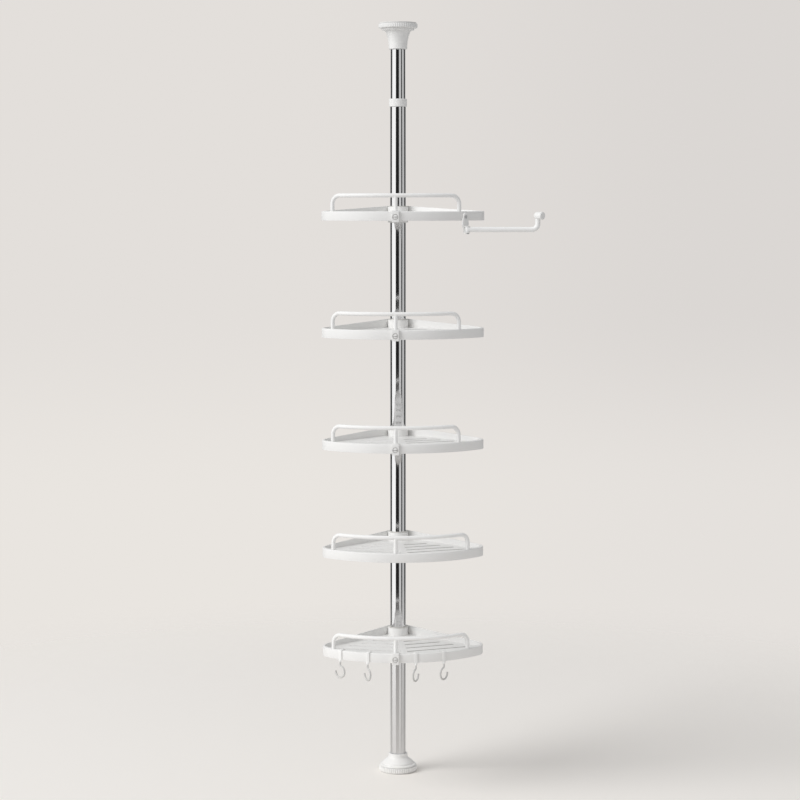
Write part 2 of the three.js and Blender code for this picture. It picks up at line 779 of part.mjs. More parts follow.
function hookSolid(side, twist) {
  const outerFace = -frontRadius - strapGap - strapThickness;
  const innerFace = -frontRadius + rimWidth + strapGap + strapThickness;
  const top = fitGap + strapThickness;
  const strap = runAlongX([
    [outerFace, -strapDrop], [outerFace + strapThickness, -strapDrop],
    [outerFace + strapThickness, fitGap], [innerFace - strapThickness, fitGap],
    [innerFace - strapThickness, -strapInnerDrop], [innerFace, -strapInnerDrop],
    [innerFace, top], [outerFace, top],
  ], strapWidth);
  const neckY = outerFace + strapThickness / 2;
  const centre = new THREE.Vector3(0, neckY, -curlTop - wireRadius - curlRadius);
  const across = new THREE.Vector3(-side * Math.cos(twist), -side * Math.sin(twist), 0);
  const up = new THREE.Vector3(0, 0, 1);
  const curl = arcPoints(centre, curlRadius, curlStart, curlEnd, curlSteps, across, up);
  const neck = uprightRod(wireRadius, 0, neckY, centre.z + curlRadius, -strapDrop + neckLap, wireSides);
  return strap.add(neck).add(bentRod(curl, wireRadius, wireSides));
}

// The assembly
function rimPlace(parent, turn) {
  const place = new THREE.Group();
  place.position.set(0, arcCentreY, 0);
  place.rotation.z = turn;
  parent.add(place);
  return place;
}

function addPole(parent) {
  const padRadius = ledgeRadius;
  addPiece(parent, 'floor_pad', disc(padRadius, 0, padThickness, flangeSides), paleRubber);
  addPiece(parent, 'foot', footSolid(), whitePlastic);
  addPiece(parent, 'lower_tube', tube(poleRadius, footFloor + fitGap, jointHeight), chrome);
  addPiece(parent, 'middle_tube', tube(poleRadius, jointHeight + fitGap, middleTubeTop), chrome);
  const coupler = ring(upperTubeRadius, upperTubeRadius - couplerWall,
    jointHeight - couplerLength / 2, jointHeight + couplerLength / 2);
  addPiece(parent, 'tube_coupler', coupler, zincSteel);
  addPiece(parent, 'locking_collar', lockingCollarSolid(), whitePlastic);
  addPiece(parent, 'lock_ring', lockRingSolid(), paleNylon);
  addPiece(parent, 'upper_tube', tube(upperTubeRadius, upperTubeBottom, upperTubeTop), chrome);
  addPiece(parent, 'guide_bush', guideBushSolid(), paleNylon);
  addPiece(parent, 'spring_stop', springStopSolid(), zincSteel);
  addPiece(parent, 'tension_spring', springSolid(), zincSteel);
  addPiece(parent, 'spring_plunger', plungerSolid(), paleNylon);
  addPiece(parent, 'ceiling_cup', cupSolid(), whitePlastic);
  const ceilingPad = disc(padRadius, overallHeight - padThickness, overallHeight, flangeSides);
  addPiece(parent, 'ceiling_pad', ceilingPad, paleRubber);
}

function addShelf(parent, shelf) {
  const group = new THREE.Group();
  group.position.z = shelfRimHeights[shelf];
  group.rotation.z = trayTurn;
  parent.add(group);
  const name = (piece) => `shelf_${shelf + 1}_${piece}`;
  addPiece(group, name('collet'), colletSolid(), paleNylon);
  addPiece(group, name('tray'), traySolid(shelf), whitePlastic);
  addPiece(group, name('guard_rail'), guardRailSolid(shelf), whiteCoatedSteel);
  if (shelf === cliplessShelf) return group;
  const clipPlace = rimPlace(group, clipTurn);
  addPiece(clipPlace, name('rail_clip'), clipSolid(), whitePlastic);
  const seat = -frontRadius - fitGap - clipThickness;
  const screw = skirtScrewSolid(seat, clipScrewDrop, screwHeadRadius);
  addPiece(clipPlace, name('clip_screw'), screw, whitePlastic);
  return group;
}

function addTowelArm(group) {
  const place = rimPlace(group, bracketTurn);
  addPiece(place, 'towel_bracket', bracketSolid(), whitePlastic);
  const seat = -frontRadius - fitGap - bracketThickness;
  const screw = skirtScrewSolid(seat, bracketScrewDrop, pinHeadRadius);
  addPiece(place, 'bracket_screw', screw, zincSteel);
  addPiece(place, 'towel_pin', pinSolid(), zincSteel);
  const arm = new THREE.Group();
  arm.position.set(0, pivotY, -armDrop);
  arm.rotation.z = -bracketTurn - trayTurn;
  place.add(arm);
  addPiece(arm, 'towel_arm', armSolid(), whiteCoatedSteel);
  addPiece(arm, 'towel_knob', knobSolid(), whitePlastic);
}

function addHooks(group) {
  hookTurns.forEach((turn, index) => {
    const hook = hookSolid(hookSides[index], curlTwists[index]);
    addPiece(rimPlace(group, turn), `hook_${index + 1}`, hook, whiteCoatedSteel);
  });
}

const shelfUnit = new THREE.Group();
addPole(shelfUnit);
const shelves = shelfRimHeights.map((_, index) => addShelf(shelfUnit, index));
addTowelArm(shelves[0]);
addHooks(shelves[shelves.length - 1]);
shelfUnit.updateMatrixWorld(true);

export default shelfUnit;
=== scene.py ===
import math

import bmesh
import bpy
from mathutils import Matrix, Vector


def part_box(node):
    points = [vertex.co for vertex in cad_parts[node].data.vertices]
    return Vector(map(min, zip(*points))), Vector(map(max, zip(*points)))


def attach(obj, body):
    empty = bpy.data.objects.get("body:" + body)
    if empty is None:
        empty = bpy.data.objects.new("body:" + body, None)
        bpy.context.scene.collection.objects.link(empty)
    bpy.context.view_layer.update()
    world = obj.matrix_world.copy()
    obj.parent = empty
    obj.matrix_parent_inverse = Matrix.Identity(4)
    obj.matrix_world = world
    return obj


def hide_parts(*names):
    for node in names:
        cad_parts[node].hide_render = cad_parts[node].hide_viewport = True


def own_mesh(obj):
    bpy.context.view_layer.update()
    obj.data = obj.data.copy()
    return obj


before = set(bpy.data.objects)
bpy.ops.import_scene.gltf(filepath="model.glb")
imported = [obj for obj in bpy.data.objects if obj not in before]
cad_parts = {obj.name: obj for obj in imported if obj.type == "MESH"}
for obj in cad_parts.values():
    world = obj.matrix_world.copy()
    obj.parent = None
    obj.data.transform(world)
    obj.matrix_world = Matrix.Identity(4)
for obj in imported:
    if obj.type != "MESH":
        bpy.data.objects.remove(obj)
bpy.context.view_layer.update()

# Floor pad and ceiling pad.
# Each end of the pole presses on a thin disc of pale soft rubber, punched from sheet,
# that is glued into the moulding and keeps it from sliding.
MM = 0.001
FULL_TURN = math.tau
SMOOTH_ANGLE = math.radians(32)
MERGE_DISTANCE = 0.001 * MM
PAD_ROUND = 0.5 * MM


class Number:
    """A shader output that can be added to, multiplied and compared like a plain number."""

    def __init__(self, socket):
        self.socket = socket

    def work(self, operation, *terms, clamp=False):
        node = self.socket.id_data.nodes.new("ShaderNodeMath")
        node.operation = operation
        node.use_clamp = clamp
        for place, term in zip(node.inputs, terms):
            if isinstance(term, Number):
                self.socket.id_data.links.new(term.socket, place)
            else:
                place.default_value = term
        return Number(node.outputs[0])

    def __add__(self, other):
        return self.work("ADD", self, other)

    __radd__ = __add__

    def __sub__(self, other):
        return self.work("SUBTRACT", self, other)

    def __rsub__(self, other):
        return self.work("SUBTRACT", other, self)

    def __mul__(self, other):
        return self.work("MULTIPLY", self, other)

    __rmul__ = __mul__

    def __truediv__(self, other):
        return self.work("DIVIDE", self, other)

    def __pow__(self, other):
        return self.work("POWER", self, other)

    def clamped(self):
        return self.work("ADD", self, 0.0, clamp=True)

    def step(self, low, high):
        """0 below low and 1 above high, with a soft passage between them."""
        share = self.work("DIVIDE", self - low, high - low, clamp=True)
        return share * share * (3 - 2 * share)


class Finish:
    """The nodes of one surface finish, each made from its kind, its settings and its inputs."""

    def __init__(self, name, tree=None):
        if tree is None:
            self.material = bpy.data.materials.new(name)
            self.material.use_nodes = True
            tree = self.material.node_tree
            self.shader = tree.nodes["Principled BSDF"]
        self.tree = tree

    def node(self, kind, settings, inputs):
        made = self.tree.nodes.new(kind)
        for name, value in settings.items():
            setattr(made, name, value)
        for name, value in inputs.items():
            self.put(made.inputs[name], value)
        return made

    def put(self, place, value):
        if isinstance(value, Number):
            self.tree.links.new(value.socket, place)
        elif isinstance(value, bpy.types.NodeSocket):
            self.tree.links.new(value, place)
        else:
            place.default_value = value

    def wear(self, **inputs):
        """Sets or links sockets of the surface shader, named in plain words."""
        for name, value in inputs.items():
            self.put(self.shader.inputs[name.replace("_", " ")], value)

    def here(self):
        return self.node("ShaderNodeTexCoord", {}, {}).outputs["Object"]

    def cloud(self, scale, detail, stretch=(1, 1, 1)):
        """Soft noise of a given fineness, in patches per metre, drawn out along an axis by stretch."""
        where = self.node("ShaderNodeMapping", {}, {"Vector": self.here(), "Scale": stretch})
        noise = self.node("ShaderNodeTexNoise", {}, {"Vector": where.outputs[0], "Scale": scale, "Detail": detail})
        return Number(noise.outputs["Fac"])

    def shade(self, amount, first, second):
        """A colour that passes from the first to the second as amount goes from 0 to 1."""
        mix = self.node("ShaderNodeMix", {"data_type": "RGBA"}, {})
        self.put(mix.inputs[0], amount)
        for place, colour in ((6, first), (7, second)):
            self.put(mix.inputs[place], colour if isinstance(colour, bpy.types.NodeSocket) else (*colour, 1))
        return mix.outputs[2]

    def relief(self, height, depth):
        bump = self.node("ShaderNodeBump", {}, {"Height": height, "Distance": depth, "Strength": 1.0})
        self.put(self.shader.inputs["Normal"], bump.outputs[0])


def lathe(profile, steps=96, edge_round=0.0):
    """Turns an outline of (radius, height) points, in millimetres, about the pole's axis."""
    shape = bmesh.new()
    points = [shape.verts.new((radius * MM, 0, height * MM)) for radius, height in profile]
    pairs = list(zip(points, points[1:]))
    if profile[0][0] > 0:
        pairs.append((points[-1], points[0]))
    edges = [shape.edges.new(pair) for pair in pairs]
    bmesh.ops.spin(shape, geom=points + edges, cent=(0, 0, 0), axis=(0, 0, 1), dvec=(0, 0, 0),
                   angle=FULL_TURN, steps=steps, use_merge=True, use_duplicate=False)
    bmesh.ops.remove_doubles(shape, verts=shape.verts, dist=MERGE_DISTANCE)
    shape = faced_out(shape)
    return soften(shape, edge_round) if edge_round else shape


def faced_out(shape):
    """Turns all faces of a closed shape outward."""
    bmesh.ops.recalc_face_normals(shape, faces=shape.faces)
    return shape


def soften(shape, width, steps=2, least_angle=30):
    """Rounds the sharp edges of a shape."""
    sharp = [edge for edge in shape.edges
             if len(edge.link_faces) == 2 and edge.calc_face_angle(0) > math.radians(least_angle)]
    bmesh.ops.bevel(shape, geom=sharp, offset=width, offset_type="OFFSET", segments=steps, profile=0.5,
                    affect="EDGES", clamp_overlap=True, material=-1)
    return shape


def extent(node):
    """The bottom, top and outer radius of a round solid, in millimetres."""
    low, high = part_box(node)
    return low.z / MM, high.z / MM, high.x / MM


def linked(name, data):
    """A new object, put in the scene."""
    made = bpy.data.objects.new(name, data)
    bpy.context.scene.collection.objects.link(made)
    return made


def fit_piece(name, shape, body, slot, finish, *nodes):
    """Makes a finished shape a piece that rides on its body in place of the plain solids."""
    mesh = bpy.data.meshes.new(name)
    shape.to_mesh(mesh)
    shape.free()
    mesh.shade_smooth()
    mesh.set_sharp_from_angle(angle=SMOOTH_ANGLE)
    mesh.materials.append(finish)
    made = linked(name, mesh)
    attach(made, body)
    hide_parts(*nodes)
    return made


def mottled_finish(name, patches, tones, roughness, grain, depth, metallic=0.0):
    """A finish whose tone and gloss vary in soft patches over a fine grain. Patches and grain are
    each a fineness and a detail, and roughness is its least value and its spread."""
    finish = Finish(name)
    blotch = finish.cloud(*patches)
    finish.wear(Base_Color=finish.shade(blotch, *tones), Metallic=metallic,
                Roughness=roughness[0] + roughness[1] * blotch)
    finish.relief(finish.cloud(*grain), depth)
    return finish.material


rubber = mottled_finish("pale soft rubber", patches=(60, 3), tones=((0.70, 0.695, 0.68), (0.78, 0.775, 0.76)),
                        roughness=(0.72, 0.16), grain=(1400, 5), depth=0.06 * MM)
for name, node, body in (("floor_pad_disc", "floor_pad", "pole"), ("ceiling_pad_disc", "ceiling_pad", "cup")):
    bottom, top, edge = extent(node)
    pad = lathe([(0, bottom), (edge, bottom), (edge, top), (0, top)], edge_round=PAD_ROUND)
    fit_piece(name, pad, body, "rubber", rubber, node)

# Foot.
# A flange of white plastic, moulded in one piece, that flares up into the neck holding the pole.
# Its outer band is ribbed for the hand, with a plain ledge above the ribs.
RIB_COUNT = 54
RIB_DEPTH = 1.8
RIB_STEPS = 8
BAND_HEIGHT = 8.6
BAND_INSET = 1.0
BAND_ROUND = 0.8
RIB_MARGIN = 0.4
RIB_REACH = 3.0
# Share of painted shade in the rib valleys.
RIB_VALLEY_SHADE = 0.25
GROOVE_REACH = (3.5, 2.3)
GROOVE_HEIGHT = 1.5
# Share of painted shade in the groove just above the ribbed band.
LEDGE_GROOVE_SHADE = 0.3
NECK_WALL = 3.6
NECK_ROUND = 1.0
FOOT_FLOOR = 4.0
FIT_GAP = 0.3
LEDGE_OUTLINE = ((-2.6, 0.1), (-3.4, 0.8), (-2.4, 1.5), (-2.1, 2.6), (-2.8, 3.8), (-4.4, 4.5),
                 (-6.4, 4.5), (-7.6, 5.1))
FLARE_OUTLINE = ((11.9, 7.3), (9.4, 10.1), (6.7, 12.2), (4.1, 14.2), (1.9, 16.0), (0.6, 17.6), (0.0, 19.2))
WHITE_TONE = (0.90, 0.897, 0.888)
# The tone of painted shade in grooves, slots and recesses.
PAINTED_SHADE_TONE = (0.36, 0.355, 0.345)


def moulded_finish():
    """White injection-moulded plastic with a fine spark texture and slightly uneven gloss. Faces marked by the
    shade attribute take a darker tone: painted shade for grooves, slots and recesses.
    """
    finish = Finish("white moulded plastic")
    flow = finish.cloud(14, detail=4)
    blotch = finish.cloud(90, detail=2)
    grain = finish.cloud(1500, detail=4)
    painted_shade = Number(finish.node("ShaderNodeAttribute", {"attribute_name": "painted_shade"}, {}).outputs["Fac"])
    aged = [part * share for part, share in zip(WHITE_TONE, (0.975, 0.973, 0.965))]
    unshaded = finish.shade(flow * 0.7 + blotch * 0.3, aged, WHITE_TONE)
    # Painted shade: marked faces pass towards the dark tone.
    finish.wear(Base_Color=finish.shade(painted_shade, unshaded, PAINTED_SHADE_TONE),
                Roughness=0.34 + 0.12 * flow + 0.06 * (blotch - 0.5))
    finish.relief(grain, 0.03 * MM)
    return finish.material


white_plastic = moulded_finish()


def mark_painted_shade(shape, share, is_hidden):
    """Marks the faces of grooves and recesses for the finish to darken: painted shade, standing in for the shade
    that falls there.
    """
    shade_marks = shape.faces.layers.float.get("painted_shade") or shape.faces.layers.float.new("painted_shade")
    shape.normal_update()
    for face in shape.faces:
        if is_hidden(face.calc_center_median() / MM, face.normal):
            face[shade_marks] = share


def rib_band(shape, edge_radius, depth, bottom, top):
    """Presses upright half-round ribs into the band between two heights, and marks their valleys for painted
    shade.
    """
    for vert in shape.verts:
        reach = math.hypot(vert.co.x, vert.co.y) / MM
        if reach > edge_radius - BAND_INSET and bottom < vert.co.z / MM < top:
            phase = RIB_COUNT * math.atan2(vert.co.y, vert.co.x)
            share = (reach - depth * (1 - abs(math.cos(phase / 2)))) / reach
            vert.co.x *= share
            vert.co.y *= share
    # Painted shade in the rib valleys.
    mark_painted_shade(shape, RIB_VALLEY_SHADE, lambda at, facing: bottom < at.z < top
         and edge_radius - RIB_REACH < at.xy.length < edge_radius - depth / 2)


foot_bottom, foot_top, foot_radius = extent("foot")
pole_radius = extent("middle_tube")[2]
pole_bore = pole_radius + FIT_GAP
band_top = foot_bottom + BAND_HEIGHT
neck_radius = pole_radius + NECK_WALL
outline = [(0, foot_bottom), (foot_radius - BAND_INSET, foot_bottom), (foot_radius, foot_bottom + BAND_ROUND),
           (foot_radius, band_top - BAND_ROUND), (foot_radius - BAND_INSET, band_top)]
outline += [(foot_radius + out, band_top + up) for out, up in LEDGE_OUTLINE]
outline += [(neck_radius + out, band_top + up) for out, up in FLARE_OUTLINE]
outline += [(neck_radius, foot_top - NECK_ROUND), (neck_radius - NECK_ROUND, foot_top), (pole_bore, foot_top),
            (pole_bore, foot_bottom + FOOT_FLOOR), (0, foot_bottom + FOOT_FLOOR)]
foot = lathe(outline, steps=RIB_COUNT * RIB_STEPS)
rib_band(foot, foot_radius, RIB_DEPTH, foot_bottom + RIB_MARGIN, band_top - RIB_MARGIN)
# Painted shade in the groove just above the ribbed band.
mark_painted_shade(foot, LEDGE_GROOVE_SHADE, lambda at, facing: band_top < at.z < band_top + GROOVE_HEIGHT
     and foot_radius - GROOVE_REACH[0] < at.xy.length < foot_radius - GROOVE_REACH[1])
fit_piece("foot_moulding", foot, "pole", "white_plastic", white_plastic, "foot")

# Pole tubes.
# Three lengths of chromed steel tube: the lower two are butted end to end over an inner coupler,
# and the thinner top tube slides inside them. The chrome is bright, with faint polishing lines.
TUBE_STEPS = 96
TUBE_WALL = 0.6
TUBE_ROUND = 0.2 * MM


def chrome_finish():
    finish = Finish("bright chrome plate")
    lines = finish.cloud(900, detail=3, stretch=(1, 1, 0.012))
    haze = finish.cloud(26, detail=3, stretch=(1, 1, 0.4))
    finish.wear(Base_Color=finish.shade(haze, (0.70, 0.70, 0.705), (0.78, 0.78, 0.79)), Metallic=1.0,
                Roughness=0.055 + 0.05 * haze + 0.02 * lines)
    finish.relief(lines, 0.004 * MM)
    return finish.material


chrome = chrome_finish()
for node, body in (("lower_tube", "pole"), ("middle_tube", "pole"), ("upper_tube", "top_pole")):
    bottom, top, edge = extent(node)
    pipe = lathe([(edge - TUBE_WALL, bottom), (edge, bottom), (edge, top), (edge - TUBE_WALL, top)],
                 steps=TUBE_STEPS, edge_round=TUBE_ROUND)
    fit_piece(node + "_chromed", pipe, body, "chrome", chrome, node)

# Locking collar.
# A white moulded ring at the top of the middle tube. Turning it grips the thinner tube,
# so it has fine upright grooves for the fingers between two plain rounded rims.
COLLAR_GROOVES = 60
COLLAR_GROOVE_STEPS = 6
COLLAR_GROOVE_DEPTH = 0.35
COLLAR_RIM_HEIGHT = 2.0
COLLAR_RIM_OUTLINE = ((-0.9, 0), (-0.2, 0.5), (0, 1.4), (0, 3))
COLLAR_LIP = 4.4
SLIDE_GAP = 0.35

bottom, top, edge = extent("locking_collar")
top_pole_radius = extent("upper_tube")[2]
lip_bore = top_pole_radius + SLIDE_GAP
outline = [(pole_bore, bottom)]
outline += [(edge + out, bottom + up) for out, up in COLLAR_RIM_OUTLINE]
outline += [(edge + out, top - up) for out, up in reversed(COLLAR_RIM_OUTLINE)]
outline += [(lip_bore, top), (lip_bore, top - COLLAR_LIP), (pole_bore, top - COLLAR_LIP)]
collar = lathe(outline, steps=COLLAR_GROOVES * COLLAR_GROOVE_STEPS)
for vert in collar.verts:
    if (vert.co.xy.length > (edge - 0.1) * MM
            and bottom + COLLAR_RIM_HEIGHT < vert.co.z / MM < top - COLLAR_RIM_HEIGHT):
        phase = COLLAR_GROOVES * math.atan2(vert.co.y, vert.co.x)
        pressed = 1 - COLLAR_GROOVE_DEPTH / edge * (0.5 - 0.5 * math.cos(phase))
        vert.co.x *= pressed
        vert.co.y *= pressed
fit_piece("locking_collar_ring", collar, "collar", "white_plastic", white_plastic, "locking_collar")

# Ceiling cup.
# A white moulded trumpet that slides on the top tube against the spring and presses on the ceiling.
# Its rim is ribbed like the foot's, over a plain stepped ring.
CUP_RIB_DEPTH = 0.7
CUP_RING_OUTLINE = ((-3.6, -0.2), (-6.9, -0.7), (-6.9, -1.3), (-6.5, -2.2), (-6.6, -3.6), (-7.4, -4.6),
                    (-9.0, -5.0), (-11.4, -5.2))
CUP_NECK_WALL = 3.1
CUP_NECK_ROUND = (0.6, 0.8)
CUP_FLOOR = 8.0
TRUMPET_GAP = 0.4
TRUMPET_REACH = 7.3
TRUMPET_CURVE = 2.3
TRUMPET_STEPS = 14

bottom, top, edge = extent("ceiling_cup")
cup_bore = top_pole_radius + FIT_GAP
band_bottom = top - BAND_HEIGHT
neck = cup_bore + CUP_NECK_WALL
outline = [(0, top), (edge - BAND_INSET, top), (edge, top - BAND_ROUND), (edge, band_bottom + BAND_ROUND),
           (edge - BAND_INSET, band_bottom)]
outline += [(edge + out, band_bottom + up) for out, up in CUP_RING_OUTLINE]
trumpet_top = band_bottom + CUP_RING_OUTLINE[-1][1] - TRUMPET_GAP
for step in range(TRUMPET_STEPS, 0, -1):
    rise = step / TRUMPET_STEPS
    outline.append((neck + TRUMPET_REACH * rise ** TRUMPET_CURVE, bottom + (trumpet_top - bottom) * rise))
outline += [(neck, bottom + CUP_NECK_ROUND[1]), (neck - CUP_NECK_ROUND[0], bottom), (cup_bore, bottom),
            (cup_bore, top - CUP_FLOOR), (0, top - CUP_FLOOR)]
cup = lathe(outline, steps=RIB_COUNT * RIB_STEPS)
rib_band(cup, edge, CUP_RIB_DEPTH, band_bottom + RIB_MARGIN, top - RIB_MARGIN)
fit_piece("ceiling_cup_moulding", cup, "cup", "white_plastic", white_plastic, "ceiling_cup")

# Collets.
# A split bush of natural nylon inside each tray's sleeve. The tray's weight wedges it on the pole,
# and its thin flange shows above the sleeve.
SHELVES = (1, 2, 3, 4, 5)
TRAY_TURN = math.radians(3.9)
RIM_HEIGHT = 18.0
COLLET_WALL = 1.9
COLLET_SPLIT = 2.5
COLLET_CUT = 30.0
COLLET_FLANGE_BOTTOM = 8.3
COLLET_TOP = 9.7
COLLET_FLANGE = 1.25
COLLET_ROUND = 0.35 * MM


def combine(shape, tool, operation):
    """Joins a tool shape to a shape with UNION, cuts it out with DIFFERENCE or keeps what both
    hold with INTERSECT."""
    made = []
    for part in (shape, tool):
        mesh = bpy.data.meshes.new("working")
        part.to_mesh(mesh)
        part.free()
        made.append(linked("working", mesh))
    change = made[0].modifiers.new("combine", "BOOLEAN")
    change.operation = operation
    change.object = made[1]
    change.solver = "MANIFOLD"
    result = bmesh.new()
    result.from_object(made[0], bpy.context.evaluated_depsgraph_get())
    for working in made:
        bpy.data.meshes.remove(working.data)
    return result


def box_shape(low, high):
    """A block between two corners, in millimetres."""
    shape = bmesh.new()
    size = [(far - near) * MM for near, far in zip(low, high)]
    middle = [(far + near) / 2 * MM for near, far in zip(low, high)]
    bmesh.ops.create_cube(shape, size=1.0, matrix=Matrix.Translation(middle) @ Matrix.Diagonal((*size, 1)))
    return shape


def placed(shape, place):
    bmesh.ops.transform(shape, matrix=place, verts=shape.verts)
    return shape


def set_on_shelf(shape, number):
    """Moves a shape from the tray's own place, rim at height zero, to its place on the pole."""
    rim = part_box(f"shelf_{number}_collet")[0].z + RIM_HEIGHT * MM
    return placed(shape, Matrix.Translation((0, 0, rim)) @ Matrix.Rotation(TRAY_TURN, 4, "Z"))


nylon = mottled_finish("natural nylon", patches=(70, 3), tones=((0.70, 0.69, 0.655), (0.77, 0.76, 0.73)),
                       roughness=(0.42, 0.12), grain=(1200, 3), depth=0.02 * MM)
collet_bore = pole_radius + SLIDE_GAP
collet_radius = collet_bore + COLLET_WALL
flange_radius = collet_radius + COLLET_FLANGE
for number in SHELVES:
    collet = lathe([(collet_bore, -RIM_HEIGHT), (collet_radius, -RIM_HEIGHT),
                    (collet_radius, COLLET_FLANGE_BOTTOM), (flange_radius, COLLET_FLANGE_BOTTOM),
                    (flange_radius, COLLET_TOP), (collet_bore, COLLET_TOP)], edge_round=COLLET_ROUND)
    split = box_shape((-COLLET_SPLIT / 2, 0, -COLLET_CUT), (COLLET_SPLIT / 2, COLLET_CUT, COLLET_CUT))
    collet = combine(collet, split, "DIFFERENCE")
    fit_piece(f"collet_{number}_bush", set_on_shelf(collet, number), f"shelf_{number}_mount", "nylon",
              nylon, f"shelf_{number}_collet")

# Trays.
# Five corner trays moulded in white plastic: a hollow rim along the curved front, two low back walls
# that rise to a sleeve round the pole, and a slotted deck with ribs beneath it.
FRONT_RADIUS = 204.7
FRONT_CENTRE_Y = -30.75
TIP_RADIUS = 38.5
TIP_END = math.radians(135)
SKIN = 2.4
RIM_WIDTH = 10.0
DECK_DEPTH = 8.0
WALL_RISE = 11.0
FRONT_STEPS = 72
TIP_STEPS = 12
CORNER_STEPS = 16
STACK_STEP = 0.1
SLEEVE_WALL = 1.9
SLEEVE_TOP = 8.0
SLEEVE_FOOT = 5.5
SLEEVE_ROUND = 0.6 * MM
CORNER_MARGIN = 0.65
SLOT_WIDTH = 5.8
SLOT_START = 9.0
SLOT_PITCH = 33.0
SLOT_COUNT = 4
SLOT_FRONT_MARGIN = 63.45
SLOT_SLOPE = math.radians(18)
SLOT_WALL_MARGIN = 24.0
SLOT_CHAMFER = 0.5
SLOT_SIDES = 20
SLOT_CUT = 10.0
SLOT_LIMIT = 40.0
# Each side of the deck, with its share of painted shade on the slot walls: heavier on the right, away from the
# lamp.
SLOT_SIDE_SHADE = {-1: 0.3, 1: 0.7}
DECK_LAP = 20.0
DECK_ROUND = (1.2, 2)
INNER_TOP_ROUND = (0.9, 3)
FOOT_ROUND = (0.5, 2)
SQUARE = (0, 0)
RIM_TOP_ROUND = 2.0
WALL_TOP_ROUND = 0.9
OUTER_TOP_STEPS = 4
DECK_RIB_TURNS = (-36, 0, 36)
DECK_RIB_WIDTH = 1.8
DECK_RIB_DEPTH = 5.0
DECK_RIB_START = 10.0
LEG_TURNS = {1: (-44, 31.6), 2: (-44, 31.6), 3: (-44, 31.6), 4: (-44, 38.5), 5: (-44, 38.5)}
LEG_RADIUS = 4.0
LEG_DEPTH = 12.0
LEG_CIRCLE = FRONT_RADIUS - RIM_WIDTH / 2
BOSS_WALL = 2.3
SCREW_SHANK = 2.1
CLIP_TURN = math.radians(-5.8)
CLIPLESS = 4
CLIP_SCREW_DROP = 10.7
BRACKET_TURN = math.radians(34.2)
BRACKET_SCREW_DROP = 11.0
SKIRT_CUT = 5.0
BOSS_HEIGHTS = (-15.0, -1.2)
BORE_CUT = (-40.0, 30.0)
BORE_GAP = 0.01
HOLE_CUT = 9.0

sleeve_bore = collet_radius + FIT_GAP
sleeve_radius = sleeve_bore + SLEEVE_WALL
leg_bore = LEG_RADIUS + FIT_GAP
wall_distance = sleeve_radius + CORNER_MARGIN


def tip_circle(wall, radius, tip):
    """Centre of the circle that touches both the straight back wall and the front arc."""
    reach = math.sqrt(2) * (wall - tip) - FRONT_CENTRE_Y
    span = radius - tip
    x = (reach + math.sqrt(2 * span * span - reach * reach)) / 2
    return x, reach + FRONT_CENTRE_Y - x


def spot(x, y, z):
    """A point or a move given in millimetres."""
    return Vector((x, y, z)) * MM


def on_rim(turn, radius, height=0.0):
    """A point over the front arc, at an angle from straight ahead."""
    return spot(radius * math.sin(turn), FRONT_CENTRE_Y - radius * math.cos(turn), height)


def only(items, kind):
    return [item for item in items if isinstance(item, kind)]


def swept(shape, point, centre, angle, steps):
    """Carries a point round a centre in equal steps and returns the points it makes, in order."""
    made = []
    for _ in range(steps):
        last = bmesh.ops.spin(shape, geom=[point], cent=(centre[0] * MM, centre[1] * MM, 0),
                              axis=(0, 0, 1), dvec=(0, 0, 0), angle=angle / steps, steps=1,
                              use_merge=False, use_duplicate=False)
        point = only(last["geom_last"], bmesh.types.BMVert)[0]
        made.append(point)
    return made


def plan_loop(shape, wall_inset, rim_inset):
    """One closed loop round the tray's plan, with a share for each point that is 0 along the front
    and 1 along the back walls."""
    earlier = set(shape.edges)
    wall, radius, tip = wall_distance - wall_inset, FRONT_RADIUS - rim_inset, TIP_RADIUS - rim_inset
    x, y = tip_circle(wall, radius, tip)
    meeting = math.atan2(x, FRONT_CENTRE_Y - y)
    tip_turn = TIP_END - meeting
    slant = math.sqrt(0.5)
    points = [shape.verts.new(on_rim(-meeting, radius))]
    points += swept(shape, points[-1], (0, FRONT_CENTRE_Y), 2 * meeting, FRONT_STEPS)
    points += swept(shape, points[-1], (x, y), tip_turn, TIP_STEPS)
    corner = shape.verts.new(Vector((wall, wall, 0)) * slant * MM)
    shape.edges.new((points[-1], corner))
    points += [corner, *swept(shape, corner, (0, 0), math.radians(90), CORNER_STEPS)]
    left = shape.verts.new(spot(-x - tip * slant, y + tip * slant, 0))
    shape.edges.new((points[-1], left))
    points += [left, *swept(shape, left, (-x, y), tip_turn * (1 - 1 / TIP_STEPS), TIP_STEPS - 1)]
    shape.edges.new((points[-1], points[0]))
    climb = [step / TIP_STEPS for step in range(1, TIP_STEPS)]
    shares = [0] * (FRONT_STEPS + 1) + climb + [1] * (CORNER_STEPS + 3) + climb[::-1]
    return points, shares, [edge for edge in shape.edges if edge not in earlier]


def rounded(corners):
    """The points of an outline whose corners are rounded off, each given with its radius and steps."""
    points = []
    for (before, _, _), (corner, radius, steps), (after, _, _) in zip(corners, corners[1:], corners[2:]):
        ends = [corner.lerp(other, min(radius / max((other - corner).xy.length, 0.001), 0.5))
                for other in (before, after)]
        for step in range(steps + 1):
            share = step / max(steps, 1)
            points.append(ends[0].lerp(corner, share).lerp(corner.lerp(ends[1], share), share))
    return points


